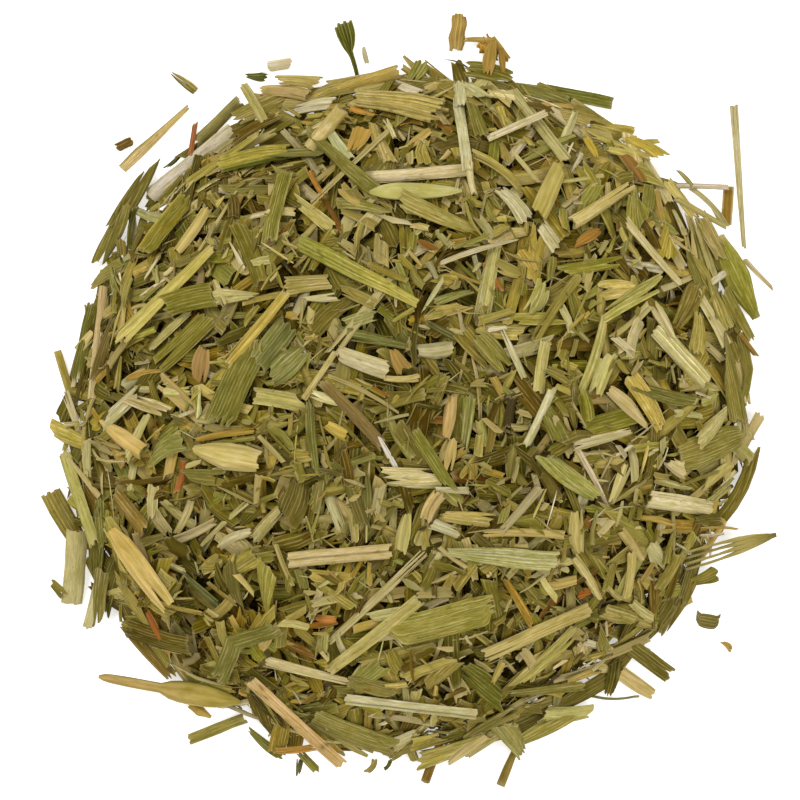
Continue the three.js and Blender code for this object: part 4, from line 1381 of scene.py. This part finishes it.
CHOSEN = """
leaf 49.4 23.5 -78 13 3 150 140 84
leaf 47.8 21.5 -70 12 2.4 128 120 66
stem 47.5 27.5 -80 11 1.8 176 162 104
leaf 51.2 18.4 -68 9 2.6 160 150 88
leaf 54.4 16.6 -62 9 2.2 132 124 68
stem -15 50.7 8 7 2.6 218 208 168
stem -19.8 53.1 -8 8 2 192 168 112
stem -24.9 51.3 -60 8 1.6 175 165 105
husk -6.9 49.4 -20 4.4 1.2 184 138 62
stem -11.7 32 -62 7.4 0.8 120 84 44
stem -19.9 32.4 0 4.6 1.4 205 190 130
leaf -14.3 31.9 -35 8 2.2 190 180 112
leaf -44.6 30.9 82 7 0.9 88 86 44
leaf 14.7 39 -40 9.5 2 170 155 90
stem 26.9 38.2 8 10.6 0.7 182 172 104
husk 30.2 43.7 -60 4.5 1.6 188 162 62
stem 19.3 40.1 -50 7 0.8 186 174 116
sheath 17.2 33.7 -50 6.5 2.6 212 204 160
sheath 22.8 28.7 -55 4.4 3 206 196 150
husk 29.1 28.6 28 6 1.8 160 118 56
leaf 42.3 27.6 80 5 3.6 166 150 68
leaf 47.1 13.5 85 6.5 3.2 178 163 92
husk 41.3 15.2 -60 6 2.6 198 184 130
leaf -45.7 1.5 42 6.5 3 204 196 150
leaf -41.1 1.8 -18 7 2.2 208 190 136
leaf -37.8 13.7 42 9 1.6 185 175 115
husk -32.3 8.3 80 5.5 3 158 128 80
sheath -42.2 6.6 15 6.5 1.2 182 152 82
stem -36.4 4 5 4.8 1.6 198 188 118
sheath -27 19 3 6.5 2.6 192 182 122
stem -29.5 19.7 -65 5.8 1 184 176 116
husk -13.3 18.7 5 5 1.4 206 196 140
leaf -20.9 11.6 55 8 4 122 122 78
leaf -18.6 8.3 40 6.5 3.4 136 136 88
leaf -5.2 12.2 -12 11 2 116 118 74
leaf -7.2 15.3 15 5 2.2 150 148 96
husk -1 8.8 -60 3.6 2.4 162 132 74
stem -0.1 6.3 4 6.4 1.2 194 176 112
stem -20.1 2.7 -8 7.6 3 196 186 112
stem -13.5 6.5 55 9 1 192 178 116
husk -10.9 -2.1 -30 3.8 2 190 166 80
husk 6.8 -5.8 75 5 2.4 188 166 104
stem 13.6 22 -58 5 1 150 98 52
stem 31.1 6.6 68 6.4 2.8 190 182 114
stem 21.5 7.8 82 8.2 2 192 182 112
stem 21 0 65 10 1.6 190 184 136
leaf 20.8 15.5 0 7 2.2 168 158 84
sheath 20.7 18.8 60 5 2.8 176 170 106
husk 35.3 1.5 -45 8.5 2.4 202 182 124
husk 34 -10.7 68 6.5 1.8 196 184 118
leaf 41.6 3.5 -15 12 2.4 116 112 66
stem 45.4 0.2 -3 6.6 1.2 176 170 112
leaf 23.3 -1.5 -60 5.5 2.6 122 120 64
stem 43.6 -8 -40 3 2.4 202 186 132
stem -4.6 -28.7 44 22 1.2 196 182 126
stem -9.9 -36.6 -65 5.5 1.4 200 190 142
stem -1.8 -31.2 10 7.5 1.6 188 182 120
husk -12.7 -32.3 -5 3.4 1.8 198 134 68
leaf -22 -27 85 7 2.6 158 150 80
leaf -17.9 -13 75 6 5 108 98 54
sheath -21.9 -17.1 50 7 2 188 176 120
husk -0.3 -18.3 80 6 2.4 186 176 108
leaf -18.1 -36.4 -28 8 1.6 126 92 50
stem -37.6 -23.9 -25 5.2 1.2 198 194 152
leaf -32.6 -27.9 -42 7.5 1.4 108 110 78
husk -40.7 -34 -60 5 1.6 150 90 44
stem -35.4 -16 65 6 1.2 196 182 122
stem -28.8 -17.1 43 11.5 0.8 192 182 124
leaf 18 -29.5 -58 9.5 1.4 172 138 62
husk 28.9 -28.5 10 2.6 1.6 166 100 46
husk 36.3 -20.6 -52 7 1.6 188 168 108
stem -29.8 41.9 33 15 1.8 158 146 76
husk -34.5 30 60 8.5 2.6 204 184 112
leaf -35.5 12 40 11.5 4.2 132 124 58
leaf -34.5 18.5 12 9 4 126 120 56
stem -23.5 14 50 14.5 1.8 196 174 88
sheath -15.5 21 10 7 3.5 170 156 100
stem -6.5 8.5 -18 8 2.8 206 195 146
stem 4.5 10.5 3 5.5 2.4 192 183 136
stem -8.4 0.5 -47 14 1.8 130 110 74
stem -2 -7.5 -65 9.7 0.9 224 218 190
sheath 1 -9.5 3 8.5 3.4 208 196 142
leaf 4 -6.5 -57 10.5 2 130 128 62
sliver 11.5 26 17 13 0.9 216 204 158
stem 48.6 37.6 0 9.1 1 208 193 160
leaf 37.5 33 -80 5 4.6 140 134 72
stem 40 26.5 -47 14 1.5 208 194 136
leaf 34 20.1 10 7 3.2 196 178 106
leaf 36 18.5 30 12.6 2.5 172 166 98
leaf 29.5 9.5 70 12.5 1.6 184 176 108
leaf 30 24 10 12.6 2 140 134 62
husk 23 36 68 10 3 178 163 92
leaf 45.5 18 60 10 3.2 128 114 62
stem 50 15.5 -60 10 2.4 204 192 132
leaf -24.5 56 0 3.1 1.5 94 100 64
husk 53 -38 -50 2 1 170 140 76
stem -35 45.5 85 5.6 1 152 96 62
husk 36.8 40.9 -55 7 2.4 136 102 56
leaf 39 44 -28 6.5 2 182 162 76
leaf -38 -5.9 33 8 2.8 144 142 86
husk -28.5 -3 10 10 1.2 160 132 60
stem -42 -10 7 11 0.9 96 78 36
stem -36 -9.5 78 5.5 1.1 166 102 60
stem -15.5 -41 -15 14.3 2 208 194 138
stem -5.1 -34.8 40 20 2 190 178 108
stem -27 -19.5 25 6.5 1.4 208 196 144
leaf -23 -54 -38 7 1.6 128 126 72
leaf -17.5 -57.9 86 2.6 1 104 104 76
leaf -20.5 -52.5 70 7 3 152 132 62
sliver 51 -18.5 -3 9.3 0.5 190 160 96
leaf 49 -26.5 20 4.6 2.4 128 120 56
leaf 22.5 -39 43 13.5 2.8 182 171 102
husk 27.3 -18.3 -85 8 2.4 188 172 106
stem 29 -26 -59 9.8 1.4 196 182 116
stem 36 -25.5 85 8 1.8 186 170 102
stem 16.5 0.7 80 5 1.6 68 58 42
stem 31 -3.5 13 11 1.6 210 198 144
leaf 49.9 -1.3 40 10.5 2.6 198 188 126
leaf 26 -9.5 -40 12 3 168 166 98
leaf 49.5 -17 3 7 2.2 104 95 48
stem 26.4 -48.8 4 8 2.8 188 182 112
husk 38 -44 -35 7 2.4 206 184 120
leaf 34 -43 80 6 2 96 88 38
sheath 36.5 -33 -20 13 2.4 158 146 90
leaf 12.5 -43 -45 11 3.6 106 104 46
leaf -38.4 41.9 40 2.7 0.7 88 92 62
stem 49.9 34.2 -45 8.9 0.9 182 174 122
stem 48.4 33.3 -29 9.8 1 178 166 104
leaf 45.8 38.9 -54 3.4 0.8 150 148 96
leaf 41.4 38.5 -30 6 4.4 124 120 56
leaf 50.2 29.1 -62 7.5 3 176 160 106
stem 49 27.6 -72 10 1.4 162 152 98
stem 51 22.3 36 6.4 1.2 208 202 162
stem 58.3 23.4 -46 6.6 0.8 202 188 146
stem 56.1 11.7 -52 4.8 0.8 142 114 62
leaf 53.3 4.5 -75 11 4.2 130 121 68
stem 55.1 5.6 -75 7.5 2 188 170 114
leaf 50.2 -12.7 38 4.4 0.6 170 165 108
leaf 51.8 -11.9 39 6.8 0.7 174 168 110
leaf 51.6 -12.9 36 5.6 0.6 166 160 102
leaf 51.8 -14 22 4.6 0.6 170 165 108
leaf 7.8 -54.6 20 12 2.6 172 161 94
husk 10.1 -54.4 38 8 2.4 198 180 122
leaf 17.5 -52.9 -60 7 3.2 160 154 98
leaf 23.1 -51.1 25 9 2.6 150 142 80
leaf 23.1 -44.5 4 13 1.6 132 124 74
sheath -17.6 -54.4 8 7.5 1.3 180 138 74
leaf -16 -56.9 -45 4.5 1.4 142 138 76
stem -5.7 -57.7 60 2.4 1 152 136 82
leaf -2.9 -57.4 55 2 0.7 100 94 56
stem -52.6 -10 -50 9 1 200 182 124
sheath -44.2 -15.5 -48 9 2.6 142 119 70
leaf -49.3 -17.3 -85 7.5 2.2 122 120 68
stem -57.1 -28.5 -40 3 1.8 128 118 60
stem -42.9 -3.1 62 7.5 1.4 186 178 114
stem -40.4 -13.7 88 5 2.2 196 185 124
husk -6.6 59.5 -75 2.8 0.9 204 196 158
leaf 2 56.6 60 3.6 2.6 140 136 76
fibre 8.8 57.4 -26 5.8 0.3 112 112 82
leaf 13.7 56.1 -12 7.5 3 118 112 56
stem -17.8 55 -3 6.6 2.2 190 172 104
sheath 5.1 54.1 20 5 2 188 172 114
stem 0.2 53.8 -24 5.6 1.8 214 204 166
stem 11.3 53.1 -35 4.4 2 190 184 130
leaf 11.4 48.5 -72 8 2.4 128 122 68
stem -10.7 43.4 -58 7 2 186 186 136
sheath -3.8 43.6 -68 9 2.6 176 160 104
leaf -10 40.8 -43 18 2.4 130 124 70
stem -8.9 39.8 45 18 1.1 186 173 116
leaf 5.3 32 -25 13 2.4 166 155 92
sheath -14.3 37.3 -62 6 0.9 176 126 62
husk -7.7 44.4 70 5 2.8 178 145 72
leaf 7.5 12.6 -27 10 1.2 94 90 62
stem 7.3 -11.5 -2 5.6 1.1 208 200 150
leaf -14.6 -3.1 -86 11 1.7 118 116 68
leaf 9.6 -0.6 82 7.6 2 142 140 88
husk 6.8 0 78 6.6 2 188 160 102
leaf 13.7 10.2 -50 7 3.4 138 130 74
stem 16.9 9.9 -65 8.4 1.1 202 196 146
stem 14.4 13.9 5 3 0.9 208 200 158
fibre -5.9 -12.9 88 14 0.35 202 190 136
stem 4.3 -14.3 60 5.2 2.4 198 174 118
sheath 9.6 -16 -6 8 2 198 180 112
stem -11.2 -15 -70 5.6 1.8 190 183 130
stem 6.3 -17.6 -22 4.4 1.8 196 190 144
sliver 4.3 19 57 6 0.7 190 184 134
leaf 7.5 18.8 18 6.8 1.4 142 140 88
husk 12.4 61.7 -5 5.4 1.1 178 152 92
husk 15.6 60.4 -58 4.6 1.4 166 136 66
husk 13.8 58.8 78 5.6 2.2 158 130 68
husk 15.9 58.3 -82 4 1.1 146 116 56
stem 8.8 52.4 -84 5.4 2.2 208 202 154
stem 10.5 38 -80 5.6 1.4 208 196 142
"""


HIGHEST = 4.0
SINK = 4.5


def lay_chosen(table, pressed=False):
    """Brings chosen cuts to rest. pressed pushes them down as far as the larger cuts over them ask.
    A cut that would lie more than HIGHEST over the heap's own shape sinks, by SINK at most."""
    batches = []
    for kind, dx, dy, heading, length, width, *colour in rows_of(table):
        cut = handful(kind, 1)
        cut["length"][0], cut["width"][0] = length, width
        cut["tint"][0] = light_of(*colour)
        cut["tall"][0] = width / 2 * math.tan(cut["arc"][0] / 4) + 0.1
        cut["turned_over"][0], cut["kink"][0], cut["chosen"][0] = False, 0.0, 1.0
        x, y, turn = mound_middle[0] + dx, mound_middle[1] + dy, math.radians(heading)
        base, pitch, roll, room = rest(x, y, turn, length, width)
        if pressed:
            base = max(base - max(cut["tall"][0] - room, 0.0), lowest(length, width, pitch, roll))
        base = min(base, max(envelope[cell_of(x, y)] + HIGHEST, base - SINK))
        cover(x, y, turn, length, width, cut["tall"][0], base, pitch, roll)
        cut.update(zip(POSE, np.array([[x], [y], [turn], [base], [pitch], [roll]])))
        batches.append(cut)
    return together(*batches)


foot_cuts = lay_chosen(ROUND_THE_FOOT, pressed=True)
ground = np.maximum(ground, larger_tops)
ceiling[:] = FREE
chosen_cuts = lay_chosen(CHOSEN)
print(len(chosen_cuts["x"]), "chosen cuts, ground now", round(ground.max(), 1), "mm")

# %% [markdown]
# A last scatter lies over everything. It may cover the ends of the larger cuts, as they are in a
# real heap, but it stays off their middles.


# %% The last scatter
def keep_clear(share):
    """Closes the room over the middle part of each larger cut and each chosen cut."""
    for name in larger_cuts:
        low_corner, high_corner = (np.array(corner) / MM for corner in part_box(name))
        x, y = (low_corner + high_corner)[:2] / 2
        near = np.hypot(map_x - x, map_y - y) < share * np.hypot(*(high_corner - low_corner)[:2]) / 2
        ceiling[near & (larger_tops > 0)] = 0
    outlines = zip(*(chosen_cuts[key] for key in ("x", "y", "turn", "length", "width")))
    for x, y, turn, length, width in outlines:
        s, t = along_and_across(map_x - x, map_y - y, turn)
        ceiling[(abs(s) < share * length / 2) & (abs(t) < width / 2)] = 0


keep_clear(0.88)
laid = layers + 2 * (larger_tops > 0)
thin_floor = ((laid < 2) & (share_map < 1.0)) | ((laid < 1) & (share_map < 1.03))
print("thin floor left inside the foot:", int(thin_floor.sum() * CELL * CELL), "mm2")
mend = sow(mixed(260, scale=0.8), 2.5, thin_floor, wander=0.1)
last = sow(mixed(420, scale=1.0, kinds=("stem", "leaf", "sheath", "husk")), 2.4, whole, wander=0.8)
last["tint"] = np.maximum(last["tint"], light_of(*MOSS))
threads = sow(mixed(330, scale=0.9, kinds=("sliver", "fibre")), 3.0, whole, wander=1.0)
last_crumbs = sow(mixed(330, scale=0.5), 3.0, share_map < 1.02, wander=1.5)
dust = sow(mixed(440, scale=0.28), 3.4, share_map < 1.03, wander=2.5)

# %% [markdown]
# Now every batch becomes meshes, one for each kind of cut. Soft clumps make some places of the heap
# a little lighter than others at random, and towards the top, where the lamps shine the most, the
# cuts are given darker tints: painted shade, so that the middle of the heap looks darker.

# %% Build all the sown and chosen cuts
surface = smoothed(ground, 2)
clumps_and_painted_shade = smoothed(smoothed(rng.normal(0, 1, (CELLS, CELLS)), 5), 5)
# painted shade: the tints are darker towards the middle of the heap
clumps_and_painted_shade = np.exp(0.17 * clumps_and_painted_shade / clumps_and_painted_shade.std()) * (0.61 + 0.40 * np.minimum(share_map, 1))
clumps_and_painted_shade = np.minimum(clumps_and_painted_shade, 1.1)
build_kinds("crumbs", together(crumbs, dust, last_crumbs), (3, 3))
build_kinds("cuts", together(bulk, mend, last, threads))
build_kinds("chosen", together(foot_cuts, chosen_cuts), (9, 9))

# %% [markdown]
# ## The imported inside
#
# Between the outer cuts, a glimpse of the inside is caught here and there. It is one closed rough
# dome, lower than the heap by a few layers of cuts. Its height map is the one that the sowing
# started from, roughened. At the foot it is a thin bed of dust that has sifted through to the table.


# %% Packed inside
def inside_dome():
    rings, spoke_count = 40, 120
    share, angle = np.meshgrid(
        np.linspace(0, 1, rings), np.arange(spoke_count) / spoke_count * FULL_TURN, indexing="ij")
    radius = np.interp(angle, spokes, outline) * 0.955 * share
    x, y = mound_middle[0] + radius * np.cos(angle), mound_middle[1] + radius * np.sin(angle)
    z = np.maximum(envelope[cell_of(x, y)] - CORE_DEPTH, 0.3)
    z = (z + rng.uniform(-0.5, 0.5, z.shape) * np.clip(z - 0.5, 0.3, 1)) * (share < 1)
    points = np.stack([x, y, np.maximum(z, TABLE_GAP)], -1).reshape(-1, 3)
    ring, spoke = (a.ravel() for a in np.mgrid[0 : rings - 1, 0:spoke_count])
    after = (spoke + 1) % spoke_count
    quads = np.stack([ring * spoke_count + spoke, (ring + 1) * spoke_count + spoke,
                      (ring + 1) * spoke_count + after, ring * spoke_count + after], 1)
    first_ring = list(range(spoke_count))
    last_ring = list(range((rings - 1) * spoke_count, rings * spoke_count))
    mesh = bpy.data.meshes.new("packed_inside_painted_shade")
    mesh.from_pydata((points * MM).tolist(), [], quads.tolist() + [last_ring[::-1]] + [first_ring])
    mesh.materials.append(FINISHES["inside"])
    piece = in_scene("packed_inside_painted_shade", mesh)
    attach(piece, "root")
    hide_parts("packed_cuts")
    return piece


print("packed inside:", len(inside_dome().data.polygons), "faces")

# %% Finish
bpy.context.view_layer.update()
print("made in", round(time.time() - started, 1), "s")
